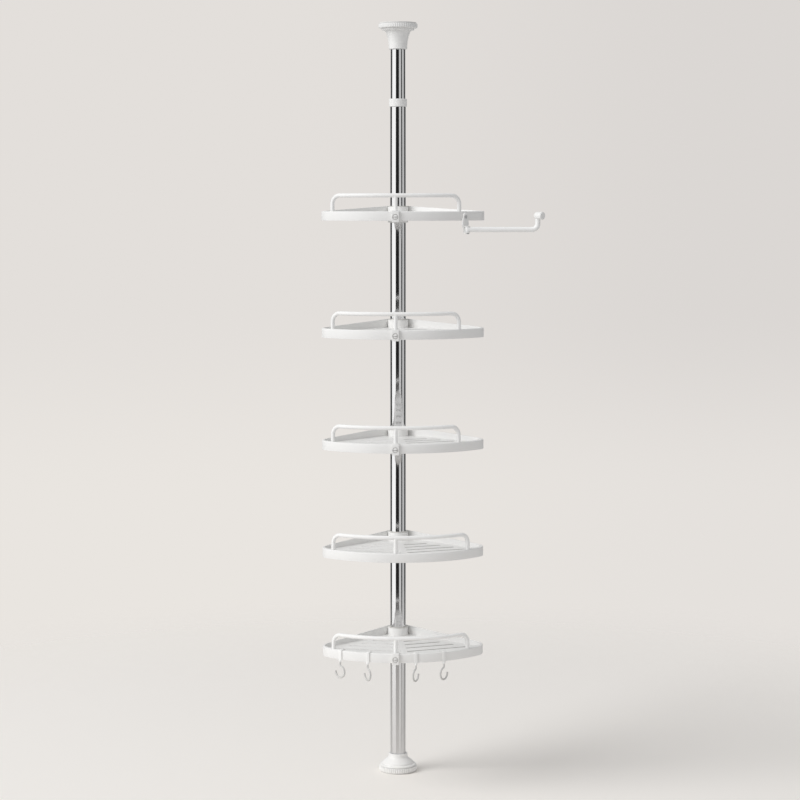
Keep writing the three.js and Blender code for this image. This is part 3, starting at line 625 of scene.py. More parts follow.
def section(inner, deck_drop, channel_top, channel_inset, edge_round, rise):
    """The outline of the rim or of a back wall, as (inset, height, share of the rise) points from the
    deck's edge over the top and round to the deck's underside."""
    under = deck_drop - SKIN
    corners = [((inner + DECK_LAP, deck_drop, 0), SQUARE), ((inner, deck_drop, 0), DECK_ROUND),
               ((inner, 0, rise), INNER_TOP_ROUND), ((0, 0, rise), (edge_round, OUTER_TOP_STEPS)),
               ((0, -RIM_HEIGHT, 0), FOOT_ROUND), ((SKIN, -RIM_HEIGHT, 0), FOOT_ROUND),
               ((SKIN, channel_top, 0), SQUARE), ((channel_inset, channel_top, 0), SQUARE),
               ((channel_inset, under, 0), SQUARE), ((inner + DECK_LAP, under, 0), SQUARE)]
    return rounded([(Vector(corner), *rounding) for corner, rounding in corners])


def tray_shell():
    """The rim, walls and deck as one hollow moulding. The loops of its outline are joined while they
    stand in a stack, and then each is set at its height."""
    shape = bmesh.new()
    deck = -DECK_DEPTH
    walls = section(SKIN, deck, deck - SKIN, SKIN, WALL_TOP_ROUND, 1)
    rims = section(RIM_WIDTH, deck, -SKIN, RIM_WIDTH - SKIN, RIM_TOP_ROUND, 0)
    loops = []
    for index, (wall, rim) in enumerate(zip(walls, rims)):
        loops.append(plan_loop(shape, wall.x, rim.x))
        bmesh.ops.translate(shape, vec=(0, 0, index * STACK_STEP), verts=loops[-1][0])
        if index:
            bmesh.ops.bridge_loops(shape, edges=loops[-2][2] + loops[-1][2])
    half = tip_circle(wall_distance, FRONT_RADIUS, TIP_RADIUS)[0] + TIP_RADIUS
    for wall, rim, (points, shares, _) in zip(walls, rims, loops):
        for point, share in zip(points, shares):
            slope = WALL_RISE * (1 - abs(point.co.x) / MM / half)
            point.co.z = (rim.y * (1 - share) + (wall.y + wall.z * slope) * share) * MM
    for points, _, _ in (loops[0], loops[-1]):
        shape.faces.new(points)
    bmesh.ops.remove_doubles(shape, verts=shape.verts, dist=10 * MERGE_DISTANCE)
    return faced_out(shape)


def extruded(shape, face, move):
    """Pulls a face out and returns the face at the new end. The old face goes, unless it was alone."""
    joined = any(len(edge.link_faces) > 1 for edge in face.edges)
    made = bmesh.ops.extrude_face_region(shape, geom=[face])["geom"]
    bmesh.ops.translate(shape, vec=move, verts=only(made, bmesh.types.BMVert))
    if joined:
        bmesh.ops.delete(shape, geom=[face], context="FACES_ONLY")
    return only(made, bmesh.types.BMFace)[0]


def plan_block(inset, low, high):
    """A block with the tray's plan, drawn in all round, between two heights."""
    shape = bmesh.new()
    face = shape.faces.new(plan_loop(shape, inset, inset)[0])
    bmesh.ops.translate(shape, vec=(0, 0, low * MM), verts=shape.verts)
    extruded(shape, face, Vector((0, 0, (high - low) * MM)))
    return faced_out(shape)


def pin_shape(radius, low, high, steps=32):
    """A round bar between two points in metres, with a radius in millimetres."""
    shape = bmesh.new()
    along = high - low
    place = Matrix.Translation((low + high) / 2) @ along.to_track_quat("Z", "Y").to_matrix().to_4x4()
    bmesh.ops.create_cone(shape, cap_ends=True, segments=steps, radius1=radius * MM, radius2=radius * MM,
                          depth=along.length, matrix=place)
    return shape


def rim_post(radius, circle, turn, low, high):
    """A round bar that stands at an angle from straight ahead, between two heights."""
    return pin_shape(radius, on_rim(turn, circle, low), on_rim(turn, circle, high))


def merged(shapes):
    """Puts several shapes that stay apart into one."""
    whole = bmesh.new()
    for part in shapes:
        mesh = bpy.data.meshes.new("working")
        part.to_mesh(mesh)
        part.free()
        whole.from_mesh(mesh)
        bpy.data.meshes.remove(mesh)
    return whole


def slot_cutter(start, end):
    """The cutter of a slot with round ends and a small chamfer at the deck's top."""
    shape = bmesh.new()
    run = end - start
    half_step = Matrix.Rotation(math.pi / SLOT_SIDES, 4, "Z")
    bmesh.ops.create_circle(shape, cap_ends=True, segments=SLOT_SIDES,
                            radius=(SLOT_WIDTH / 2 + SLOT_CHAMFER) * MM, matrix=half_step)
    far_end = [vert for vert in shape.verts if vert.co.x > 0]
    bmesh.ops.translate(shape, vec=(run.length * MM, 0, 0), verts=far_end)
    bmesh.ops.translate(shape, vec=(0, 0, (1 - DECK_DEPTH) * MM), verts=shape.verts)
    bmesh.ops.reverse_faces(shape, faces=shape.faces)
    end_face = extruded(shape, list(shape.faces)[0], Vector((0, 0, -1 * MM)))
    bmesh.ops.inset_region(shape, faces=[end_face], thickness=SLOT_CHAMFER * MM, depth=SLOT_CHAMFER * MM,
                           use_even_offset=True)
    extruded(shape, end_face, Vector((0, 0, -SLOT_CUT * MM)))
    turn = Matrix.Rotation(math.atan2(run.y, run.x), 4, "Z")
    return placed(faced_out(shape), Matrix.Translation((start.x * MM, start.y * MM, 0)) @ turn)


def deck_slots():
    slots = []
    for index in range(SLOT_COUNT):
        y = FRONT_CENTRE_Y - FRONT_RADIUS + SLOT_FRONT_MARGIN + index * SLOT_PITCH
        wall_line = (wall_distance - SLOT_WALL_MARGIN - SKIN) * math.sqrt(2)
        length = (wall_line - SLOT_START - y) / (math.cos(SLOT_SLOPE) + math.sin(SLOT_SLOPE))
        for side in SLOT_SIDE_SHADE:
            start = Vector((side * SLOT_START, y))
            run = Vector((side * math.cos(SLOT_SLOPE), math.sin(SLOT_SLOPE))) * length
            slots.append(slot_cutter(start, start + run))
    return merged(slots)


def deck_rib(turn):
    length = FRONT_RADIUS - FRONT_CENTRE_Y
    rib = box_shape((-DECK_RIB_WIDTH / 2, -length, -DECK_DEPTH - SKIN - DECK_RIB_DEPTH),
                    (DECK_RIB_WIDTH / 2, -DECK_RIB_START, -DECK_DEPTH - SKIN / 2))
    bmesh.ops.rotate(rib, cent=(0, 0, 0), matrix=Matrix.Rotation(math.radians(turn), 3, "Z"), verts=rib.verts)
    return combine(rib, plan_block(SKIN / 2, -RIM_HEIGHT, 0), "INTERSECT")


def skirt_hole(turn, drop):
    return pin_shape(SCREW_SHANK + FIT_GAP, on_rim(turn, FRONT_RADIUS - SKIRT_CUT, -drop),
                     on_rim(turn, FRONT_RADIUS + SKIRT_CUT, -drop))


tray_base = combine(tray_shell(), deck_slots(), "DIFFERENCE")
for turn in DECK_RIB_TURNS:
    tray_base = combine(tray_base, deck_rib(turn), "UNION")
sleeve_bottom = -RIM_HEIGHT - SLEEVE_FOOT
sleeve = lathe([(0, sleeve_bottom), (sleeve_radius, sleeve_bottom), (sleeve_radius, SLEEVE_TOP),
                (0, SLEEVE_TOP)], edge_round=SLEEVE_ROUND)
tray_base = combine(tray_base, sleeve, "UNION")
flange_seat = SLEEVE_TOP - BORE_GAP
bore_cutter = lathe([(0, BORE_CUT[0]), (sleeve_bore, BORE_CUT[0]), (sleeve_bore, flange_seat),
                     (sleeve_bore + COLLET_FLANGE, flange_seat), (sleeve_bore + COLLET_FLANGE, BORE_CUT[1]),
                     (0, BORE_CUT[1])])
tray_base = combine(tray_base, bore_cutter, "DIFFERENCE")

for number in SHELVES:
    tray = tray_base.copy()
    turns = [math.radians(turn) for turn in LEG_TURNS[number]]
    if number == CLIPLESS:
        turns.append(CLIP_TURN)
    bosses = merged([rim_post(leg_bore + BOSS_WALL, LEG_CIRCLE, turn, *BOSS_HEIGHTS) for turn in turns])
    tray = combine(tray, combine(bosses, plan_block(SKIN / 2, -RIM_HEIGHT, 0), "INTERSECT"), "UNION")
    holes = [rim_post(leg_bore, LEG_CIRCLE, turn, -LEG_DEPTH - FIT_GAP, HOLE_CUT) for turn in turns]
    if number != CLIPLESS:
        holes.append(skirt_hole(CLIP_TURN, CLIP_SCREW_DROP))
    if number == SHELVES[0]:
        holes.append(skirt_hole(BRACKET_TURN, BRACKET_SCREW_DROP))
    tray = combine(tray, merged(holes), "DIFFERENCE")
    # Painted shade on the slot walls, heavier on the right half, away from the lamp.
    for side, side_shade in SLOT_SIDE_SHADE.items():
        mark_painted_shade(tray, side_shade, lambda at, facing: -DECK_DEPTH - SKIN < at.z < -DECK_DEPTH and abs(facing.z) < 0.9
             and at.x * side > 0 and at.y < -SLOT_LIMIT and abs(at.x) + at.y < 0
             and math.hypot(at.x, at.y - FRONT_CENTRE_Y) < FRONT_RADIUS - SLOT_LIMIT)
    fit_piece(f"tray_{number}_moulding", set_on_shelf(tray, number), f"shelf_{number}",
              "white_plastic", white_plastic, f"shelf_{number}_tray")
tray_base.free()

# Guard rails.
# A round steel rod, coated white, bent down at both ends into the rim, with a short post
# welded under it that drops into the clip, or into the rim of the fourth tray, which has no clip.
QUARTER_TURN = math.pi / 2
RAIL_HEIGHTS = {1: 30.5, 2: 31.0, 3: 31.0, 4: 30.0, 5: 29.0}
RAIL_BEND = 17.0
RAIL_STEPS = 60
BEND_STEPS = 12
ROD_SIDES = 24
POST_BOTTOM = 1.4

post_circle = math.sqrt(LEG_CIRCLE ** 2 - RAIL_BEND ** 2)


class Rod:
    """A round or flat bar that is drawn out straight and bent, one length after another."""

    def __init__(self, shape, face):
        self.shape = shape
        self.face = face

    def straight(self, move):
        self.face = extruded(self.shape, self.face, move)

    def bend(self, centre, axis, angle, steps):
        made = bmesh.ops.spin(self.shape, geom=[self.face], cent=centre, axis=axis, dvec=(0, 0, 0),
                              angle=angle, steps=steps, use_merge=False, use_duplicate=False)["geom_last"]
        bmesh.ops.delete(self.shape, geom=[self.face], context="FACES_ONLY")
        self.face = only(made, bmesh.types.BMFace)[0]

    def finished(self):
        return faced_out(self.shape)


def round_rod(radius, matrix, sides=ROD_SIDES):
    shape = bmesh.new()
    bmesh.ops.create_circle(shape, cap_ends=True, segments=sides, radius=radius * MM, matrix=matrix)
    return Rod(shape, list(shape.faces)[0])


def guard_rail(left, right, height, post_bottom):
    swing = math.asin(RAIL_BEND / LEG_CIRCLE)
    leg = height - RAIL_BEND + LEG_DEPTH
    rod = round_rod(LEG_RADIUS, Matrix.Translation(on_rim(left, LEG_CIRCLE, -LEG_DEPTH)))
    rod.straight(Vector((0, 0, leg * MM)))
    for turn, back in ((left + swing, False), (right - swing, True)):
        ahead = Vector((math.cos(turn), math.sin(turn), 0))
        crosswise = Vector((0, 0, 1)).cross(ahead)
        if back:
            rod.bend((0, FRONT_CENTRE_Y * MM, 0), (0, 0, 1), right - left - 2 * swing, RAIL_STEPS)
        rod.bend(on_rim(turn, post_circle, height - RAIL_BEND), crosswise, QUARTER_TURN, BEND_STEPS)
    rod.straight(Vector((0, 0, -leg * MM)))
    post = rim_post(LEG_RADIUS, post_circle, CLIP_TURN, post_bottom, height)
    return combine(rod.finished(), post, "UNION")


coated_steel = mottled_finish("white coated steel", patches=(30, 2),
                              tones=((0.92, 0.918, 0.905), (0.95, 0.948, 0.94)), roughness=(0.22, 0.1),
                              grain=(420, 2), depth=0.02 * MM)
for number in SHELVES:
    post_bottom = -LEG_DEPTH if number == CLIPLESS else POST_BOTTOM
    rail = guard_rail(*[math.radians(turn) for turn in LEG_TURNS[number]], RAIL_HEIGHTS[number], post_bottom)
    fit_piece(f"guard_rail_{number}_rod", set_on_shelf(rail, number), f"shelf_{number}", "coated_steel",
              coated_steel, f"shelf_{number}_guard_rail")

# Rail clips and their screws.
# On four trays a small white block hooked over the front rim takes the foot of the rail's post.
# A domed plastic screw with a straight slot, set in a shallow round recess, holds it to the rim.
CLIP_WIDTH = 14.0
CLIP_THICKNESS = 6.0
CLIP_DROP = 20.5
CLIP_TOP = 1.7
CLIP_FLOOR = 1.1
CLIP_ROUND = 0.6 * MM
CLIP_RECESS_RADIUS = 5.6
CLIP_RECESS = 1.9
SCREW_RADIUS = 4.4
SCREW_CROWN = 1.8
SCREW_SLOT_WIDTH = 1.5
SCREW_SLOT_DEPTH = 1.7
# Share of painted shade in the screw head's slot.
SCREW_SLOT_SHADE = 0.5
SCREW_EDGE = 0.5
SCREW_STEPS = 8
SCREW_SEAT = 0.05
CLIP_SCREW_REACH = 8.5
# Share of painted shade on the recess round the clip's screw.
RECESS_SHADE = 0.3
SHANK_CUT = 3.0
POST_CUT = 12.0
FACE = FRONT_RADIUS + FIT_GAP
CLIP_FACE = FACE + CLIP_THICKNESS
RECESS_FLOOR = CLIP_FACE - CLIP_RECESS


def side_outline(points, width):
    """A block whose side has the given (outward, height) outline, as wide as given."""
    shape = bmesh.new()
    corners = [shape.verts.new((-width / 2 * MM, -out * MM, height * MM)) for out, height in points]
    face = shape.faces.new(corners)
    extruded(shape, face, Vector((width * MM, 0, 0)))
    return faced_out(shape)


def set_on_rim(shape, turn, number):
    """Moves a shape made straight ahead of the front arc's centre to its angle on a shelf's rim."""
    place = Matrix.Translation((0, FRONT_CENTRE_Y * MM, 0)) @ Matrix.Rotation(turn, 4, "Z")
    return set_on_shelf(placed(shape, place), number)


def outward(distance, height):
    """The place of a shape made about the upright axis whose top is to face outward from the rim."""
    return Matrix.Translation((0, -distance * MM, height * MM)) @ Matrix.Rotation(QUARTER_TURN, 4, "X")


def along_depth(radius, near, far, drop, sides=32):
    """A round bar that lies straight out through the rim, between two distances from the centre."""
    return pin_shape(radius, spot(0, -near, -drop), spot(0, -far, -drop), sides)


def along_height(radius, distance, low, high, sides=32):
    """A round bar that stands at a distance from the centre, between two heights."""
    return pin_shape(radius, spot(0, -distance, low), spot(0, -distance, high), sides)


def dome(radius, crown, foot, steps):
    """The outline of a dome from its tip down to its edge, as (radius, height) points."""
    turns = [QUARTER_TURN * step / steps for step in range(steps + 1)]
    return [(radius * math.sin(turn), foot + crown * math.cos(turn)) for turn in turns]


def slotted_screw(radius, crown, reach):
    """A domed screw head with a straight slot, on its shank."""
    head = lathe([*dome(radius, crown, SCREW_EDGE, SCREW_STEPS), (radius, 0), (SCREW_SHANK, 0),
                  (SCREW_SHANK, -reach), (0, -reach)], steps=48)
    deep = crown + SCREW_EDGE - SCREW_SLOT_DEPTH
    half_width = SCREW_SLOT_WIDTH / 2
    slot = box_shape((-radius - 1, -half_width, deep), (radius + 1, half_width, deep + 5))
    head = combine(head, slot, "DIFFERENCE")
    # Painted shade in the slot.
    mark_painted_shade(head, SCREW_SLOT_SHADE, lambda at, facing: abs(at.y) < half_width + 0.01 and at.z > deep - 0.05)
    return head


for number in [shelf for shelf in SHELVES if shelf != CLIPLESS]:
    clip = side_outline([(FACE, -CLIP_DROP), (CLIP_FACE, -CLIP_DROP), (CLIP_FACE, CLIP_TOP),
                         (FRONT_RADIUS - RIM_WIDTH, CLIP_TOP), (FRONT_RADIUS - RIM_WIDTH, FIT_GAP),
                         (FACE, FIT_GAP)], CLIP_WIDTH)
    clip = soften(clip, CLIP_ROUND, 3)
    post_hole = along_height(leg_bore, post_circle, CLIP_FLOOR, POST_CUT)
    recess = along_depth(CLIP_RECESS_RADIUS, RECESS_FLOOR, CLIP_FACE + SKIRT_CUT, CLIP_SCREW_DROP, 48)
    shank_hole = along_depth(SCREW_SHANK + FIT_GAP, FACE - SHANK_CUT, RECESS_FLOOR + SCREW_EDGE, CLIP_SCREW_DROP)
    for cutter in (post_hole, recess, shank_hole):
        clip = combine(clip, cutter, "DIFFERENCE")
    # Painted shade on the recess round the screw.
    mark_painted_shade(clip, RECESS_SHADE, lambda at, facing: 0.1 - CLIP_FACE < at.y < -FACE - 0.5
         and math.hypot(at.x, at.z + CLIP_SCREW_DROP) < CLIP_RECESS_RADIUS + 0.1)
    screw = slotted_screw(SCREW_RADIUS, SCREW_CROWN, CLIP_SCREW_REACH)
    screw = placed(screw, outward(RECESS_FLOOR + SCREW_SEAT, -CLIP_SCREW_DROP))
    for name, shape, node in ((f"rail_clip_{number}_block", clip, f"shelf_{number}_rail_clip"),
                              (f"clip_screw_{number}_head", screw, f"shelf_{number}_clip_screw")):
        fit_piece(name, set_on_rim(shape, CLIP_TURN, number), f"shelf_{number}", "white_plastic",
                  white_plastic, node)

# Towel bracket.
# A teardrop of white plastic screwed to the top tray's rim, with two thin lugs around the eye
# of the towel arm and a zinc-plated pin through them.
BRACKET_THICKNESS = 4.0
BRACKET_DISCS = ((5.0, -8.0), (7.8, -24.0), (3.2, -38.8))
BRACKET_ROUND = 1.1 * MM
ARM_RADIUS = 5.0
ARM_DROP = 35.0
LUG_THICKNESS = 1.6
LUG_RADIUS = 4.4
PIN_RADIUS = 1.8
PIN_HEAD_RADIUS = 3.2
PIN_HEAD = 1.5
PIN_ROUND = 0.3 * MM
PIN_CUT = 9.0
BRACKET_SCREW_CROWN = 1.4
BRACKET_SCREW_REACH = 7.5
BRACKET_FACE = FACE + BRACKET_THICKNESS
PIVOT_DISTANCE = BRACKET_FACE + SLIDE_GAP + ARM_RADIUS


def bracket_plate():
    shape = bmesh.new()
    for radius, height in BRACKET_DISCS:
        for out in (FACE, BRACKET_FACE):
            bmesh.ops.create_circle(shape, cap_ends=False, segments=40, radius=radius * MM,
                                    matrix=outward(out, height))
    hull = bmesh.ops.convex_hull(shape, input=shape.verts, use_existing_faces=False)
    inner = set(only(hull["geom_interior"] + hull["geom_unused"], bmesh.types.BMVert))
    bmesh.ops.delete(shape, geom=list(inner), context="VERTS")
    bmesh.ops.dissolve_limit(shape, angle_limit=math.radians(1), verts=shape.verts, edges=shape.edges)
    return soften(shape, BRACKET_ROUND, 3)


def bracket_lug(low, high):
    eye = along_height(LUG_RADIUS, PIVOT_DISTANCE, low, high, 40)
    web = box_shape((-LUG_RADIUS, -PIVOT_DISTANCE, low), (LUG_RADIUS, -FACE - 1, high))
    return combine(eye, web, "UNION")


zinc = mottled_finish("zinc plated steel", patches=(260, 4), tones=((0.60, 0.605, 0.61), (0.72, 0.725, 0.73)),
                      roughness=(0.4, 0.16), grain=(900, 3), depth=0.01 * MM, metallic=1.0)
high_lug = -ARM_DROP + ARM_RADIUS + FIT_GAP
low_lug = -ARM_DROP - ARM_RADIUS - FIT_GAP
pin_bore = PIN_RADIUS + FIT_GAP
bracket = bracket_plate()
for low, high in ((high_lug, high_lug + LUG_THICKNESS), (low_lug - LUG_THICKNESS, low_lug)):
    bracket = combine(bracket, bracket_lug(low, high), "UNION")
for hole in (along_height(pin_bore, PIVOT_DISTANCE, low_lug - PIN_CUT, high_lug + PIN_CUT),
             along_depth(SCREW_SHANK + FIT_GAP, FACE - SHANK_CUT, BRACKET_FACE + SHANK_CUT, BRACKET_SCREW_DROP)):
    bracket = combine(bracket, hole, "DIFFERENCE")
screw = slotted_screw(PIN_HEAD_RADIUS, BRACKET_SCREW_CROWN, BRACKET_SCREW_REACH)
screw = placed(screw, outward(BRACKET_FACE + SCREW_SEAT, -BRACKET_SCREW_DROP))
head_top = low_lug - LUG_THICKNESS - FIT_GAP
pin_top = high_lug + LUG_THICKNESS
pin = lathe([(0, head_top - PIN_HEAD), (PIN_HEAD_RADIUS, head_top - PIN_HEAD), (PIN_HEAD_RADIUS, head_top),
             (PIN_RADIUS, head_top), (PIN_RADIUS, pin_top), (0, pin_top)], steps=32, edge_round=PIN_ROUND)
bmesh.ops.translate(pin, vec=(0, -PIVOT_DISTANCE * MM, 0), verts=pin.verts)
for name, shape, slot, finish, node in (
        ("towel_bracket_plate", bracket, "white_plastic", white_plastic, "towel_bracket"),
        ("bracket_screw_head", screw, "zinc_steel", zinc, "bracket_screw"),
        ("towel_pin_rivet", pin, "zinc_steel", zinc, "towel_pin")):
    fit_piece(name, set_on_rim(shape, BRACKET_TURN, 1), "shelf_1", slot, finish, node)

# Towel arm and its knob.
# A thicker coated rod that swings on the bracket's pin. Its end turns up into a short white bar
# that lies level, domed behind and flat in front, and keeps the towel on.
ARM_LENGTH = 135.0
ARM_BEND = 11.0
ARM_BEND_STEPS = 14
ARM_POST = 27.4
EYE_ROUND = 0.6 * MM
EYE_CUT = 5.0
KNOB_HEIGHT = 26.4
KNOB_RADIUS = 7.5
KNOB_REACH = 13.4
KNOB_TURN = math.radians(-45)
KNOB_DOME_STEPS = 10
KNOB_EDGE_OUTLINE = ((0, 1.5), (0.5, 0.75), (1.5, 0.1))

pivot = Matrix.Rotation(TRAY_TURN, 4, "Z") @ on_rim(BRACKET_TURN, PIVOT_DISTANCE)
pivot.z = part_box("shelf_1_collet")[0].z + (RIM_HEIGHT - ARM_DROP) * MM
at_pivot = Matrix.Translation(pivot)

rod = round_rod(ARM_RADIUS, Matrix.Rotation(QUARTER_TURN, 4, "Y"), 32)
rod.straight(Vector(((ARM_LENGTH - ARM_BEND) * MM, 0, 0)))
rod.bend(spot(ARM_LENGTH - ARM_BEND, 0, ARM_BEND), (0, -1, 0), QUARTER_TURN, ARM_BEND_STEPS)
rod.straight(spot(0, 0, ARM_POST - ARM_BEND))
eye = along_height(ARM_RADIUS, 0, -ARM_RADIUS, ARM_RADIUS, 40)
arm = combine(rod.finished(), soften(eye, EYE_ROUND, 2), "UNION")
arm = combine(arm, along_height(pin_bore, 0, -ARM_RADIUS - EYE_CUT, ARM_RADIUS + EYE_CUT), "DIFFERENCE")
fit_piece("towel_arm_rod", placed(arm, at_pivot), "towel_arm", "coated_steel", coated_steel, "towel_arm")

outline = dome(KNOB_RADIUS, -KNOB_RADIUS, 0, KNOB_DOME_STEPS)
outline += [(KNOB_RADIUS - inset, KNOB_REACH - short) for inset, short in KNOB_EDGE_OUTLINE]
turn = Matrix.Rotation(KNOB_TURN, 4, "Z") @ Matrix.Rotation(QUARTER_TURN, 4, "Y")
knob = placed(lathe([*outline, (0, KNOB_REACH)], steps=48),
              Matrix.Translation(spot(ARM_LENGTH, 0, KNOB_HEIGHT)) @ turn)
socket = pin_shape(ARM_RADIUS + FIT_GAP, spot(ARM_LENGTH, 0, 0),
                   spot(ARM_LENGTH, 0, ARM_POST + FIT_GAP))
knob = placed(combine(knob, socket, "DIFFERENCE"), at_pivot)
fit_piece("towel_knob_cap", knob, "towel_arm", "white_plastic", white_plastic, "towel_knob")

# Hooks.
# Four small coated steel hooks over the bottom tray's rim: a flat strap folded over the rim, and a
# round wire welded under it that curls most of the way round. Each curl is twisted by hand.
HOOKS = ((-38.0, -7, 0), (-21.2, -43, 0), (5.2, 54, 180), (21.3, 28, 180))
STRAP_WIDTH = 7.4
STRAP_THICKNESS = 1.2
STRAP_GAP = 0.7
STRAP_DROP = 21.5
STRAP_INNER_DROP = 5.5
STRAP_BEND = 0.5
STRAP_ROUND = 0.3 * MM
WIRE_RADIUS = 1.9
WIRE_SIDES = 20
NECK_LAP = 3.0
NECK_BEND = 3.0
CURL_RADIUS = 11.6
CURL_TOP = 28.5
CURL_END = math.radians(185)
CURL_STEPS = 48
NECK_STEPS = 6
STRAP_BEND_STEPS = 5
TIP_ROUND = 0.55 * WIRE_RADIUS * MM
GREY_WIRE_BAND = (3.0, -1.0)

strap_circle = FRONT_RADIUS + STRAP_GAP + STRAP_THICKNESS / 2


def hook_finish(rim):
    """The white coating, with the wire below the strap in grey."""
    finish = Finish("white coating with grey wire")
    flow = finish.cloud(90, detail=2)
    height = Number(finish.node("ShaderNodeSeparateXYZ", {}, {"Vector": finish.here()}).outputs["Z"])
    coated = height.step(*[rim - (STRAP_DROP + below) * MM for below in GREY_WIRE_BAND])
    wire = finish.shade(flow, (0.58, 0.575, 0.56), (0.68, 0.675, 0.66))
    finish.wear(Base_Color=finish.shade(coated, wire, (0.91, 0.908, 0.895)), Roughness=0.24 + 0.1 * flow)
    finish.relief(finish.cloud(420, detail=2), 0.02 * MM)
    return finish.material


def hook_strap():
    shape = bmesh.new()
    place = Matrix.Translation(spot(0, -strap_circle, -STRAP_DROP))
    size = Matrix.Diagonal((STRAP_WIDTH * MM, STRAP_THICKNESS * MM, 1, 1))
    bmesh.ops.create_grid(shape, x_segments=1, y_segments=1, size=0.5, matrix=place @ size)
    strap = Rod(shape, list(shape.faces)[0])
    reach = STRAP_BEND + STRAP_THICKNESS / 2
    top = FIT_GAP + STRAP_THICKNESS / 2
    inner = FRONT_RADIUS - RIM_WIDTH - STRAP_GAP - STRAP_THICKNESS / 2
    strap.straight(spot(0, 0, top - reach + STRAP_DROP))
    strap.bend(spot(0, -strap_circle + reach, top - reach), (-1, 0, 0), QUARTER_TURN, STRAP_BEND_STEPS)
    strap.straight(spot(0, strap_circle - inner - 2 * reach, 0))
    strap.bend(spot(0, -inner - reach, top - reach), (-1, 0, 0), QUARTER_TURN, STRAP_BEND_STEPS)
    strap.straight(spot(0, 0, -STRAP_INNER_DROP - top + reach))
    return soften(strap.finished(), STRAP_ROUND, 2, least_angle=60)


def hook_wire(turn):
    """The wire under the strap: a straight neck, a small bend and most of a circle."""
    ease = math.acos(NECK_BEND / (CURL_RADIUS + NECK_BEND))
    centre = -CURL_TOP - WIRE_RADIUS - CURL_RADIUS
    neck_end = centre + (CURL_RADIUS + NECK_BEND) * math.sin(ease)
    neck_top = -STRAP_DROP + NECK_LAP
    wire = round_rod(WIRE_RADIUS, Matrix.Translation((0, 0, neck_top * MM)), WIRE_SIDES)
    wire.straight(spot(0, 0, neck_end - neck_top))
    wire.bend(spot(NECK_BEND, 0, neck_end), (0, -1, 0), ease, NECK_STEPS)
    wire.bend(spot(0, 0, centre), (0, 1, 0), CURL_END + ease, CURL_STEPS)
    wire = soften(wire.finished(), TIP_ROUND, 4, least_angle=60)
    place = Matrix.Translation((0, -strap_circle * MM, 0)) @ Matrix.Rotation(math.radians(turn), 4, "Z")
    return placed(wire, place)


hook_coating = hook_finish(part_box(f"shelf_{SHELVES[-1]}_collet")[0].z + RIM_HEIGHT * MM)
for number, (turn, twist, side) in enumerate(HOOKS, start=1):
    hook = combine(hook_strap(), hook_wire(twist + side), "UNION")
    fit_piece(f"hook_{number}_strap", set_on_rim(hook, math.radians(turn), SHELVES[-1]), f"hook_{number}",
              "coated_steel", hook_coating, f"hook_{number}")

# Tension spring.
# A coil of zinc-plated steel wire in the upper tube, wound cold. It stands on the spring stop and pushes the cup
# up against the ceiling. The real coil shortens as the cup goes down; this one is drawn at one length.
SPRING_TURNS = 10
SPRING_STEPS = 32
SPRING_WIRE = 1.1
SPRING_WIRE_SIDES = 12

spring_low, spring_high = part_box("tension_spring")
spring_height = (spring_high.z - spring_low.z) / MM
coil_steps = SPRING_TURNS * SPRING_STEPS
coil_start = spot(spring_high.x / MM - SPRING_WIRE, 0, spring_low.z / MM + SPRING_WIRE)
coil = bmesh.new()
bmesh.ops.create_circle(coil, cap_ends=True, segments=SPRING_WIRE_SIDES, radius=SPRING_WIRE * MM,
                        matrix=Matrix.Translation(coil_start) @ Matrix.Rotation(QUARTER_TURN, 4, "X"))
bmesh.ops.spin(coil, geom=coil.verts[:] + coil.edges[:] + coil.faces[:], cent=(0, 0, 0), axis=(0, 0, 1),
               dvec=(0, 0, (spring_height - 2 * SPRING_WIRE) / coil_steps * MM), angle=FULL_TURN * SPRING_TURNS,
               steps=coil_steps, use_merge=False, use_duplicate=False)
spring = fit_piece("tension_spring_coil", faced_out(coil), "top_pole", "zinc_steel", zinc, "tension_spring")
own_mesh(spring)

# Inner pieces.
# The coupler, guide bush, lock ring and the spring's stop and plunger are hidden in the pole.
# Their solids stay as they are and get their own finishes.
for node, finish in (("tube_coupler", zinc), ("spring_stop", zinc),
                     ("guide_bush", nylon), ("lock_ring", nylon), ("spring_plunger", nylon)):
    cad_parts[node].data.materials.clear()
    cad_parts[node].data.materials.append(finish)

# Floor, light and camera.
# A pale studio floor that fades into a plain backdrop, one large soft lamp from the upper left,
# and the photograph's camera: a long lens level with the top tray, tilted slightly down.
FLOOR_RADIUS = 3.0
FLOOR_COLOUR = (0.955, 0.924, 0.882)
FLOOR_FADE = (0.9, 2.0)
FLOOR_DROP = 0.2 * MM
MIRRORED_FLOOR_REACH = 2.6
BACKDROP_TOP = ((0.768, 0.737, 0.708), (0.708, 0.680, 0.658))
BACKDROP_FOOT = ((0.815, 0.783, 0.745), (0.783, 0.753, 0.723))
BACKDROP_WIDTH = (-0.06, 0.15)
BACKDROP_RISE = (-0.135, -0.045)
CAMERA_LENS = 98.98
CAMERA_PLACE = (0.00405, -4.4495, 1.1695)
CAMERA_TILT = math.radians(5.18)
LAMP_AIM = (0, 0, 0.75)
LAMP_DISTANCE = 12.0
LAMP_SIZE = 9.5
LAMP_POWER = 980.0
LAMP_TURN = math.radians(60)
LAMP_LIFT = math.radians(36)
AMBIENT = (0.50, 0.50, 0.505)
STUDIO_GLOW = (1.3, 1.3, 1.29)
STUDIO_CARDS = ((-67, 36, 0.93), (32, 19, 0.54), (85, 22, 0.47), (180, 64, 0.06), (180, 34, 0.42))
STUDIO_DARK = 0.013
STUDIO_EDGE = 6


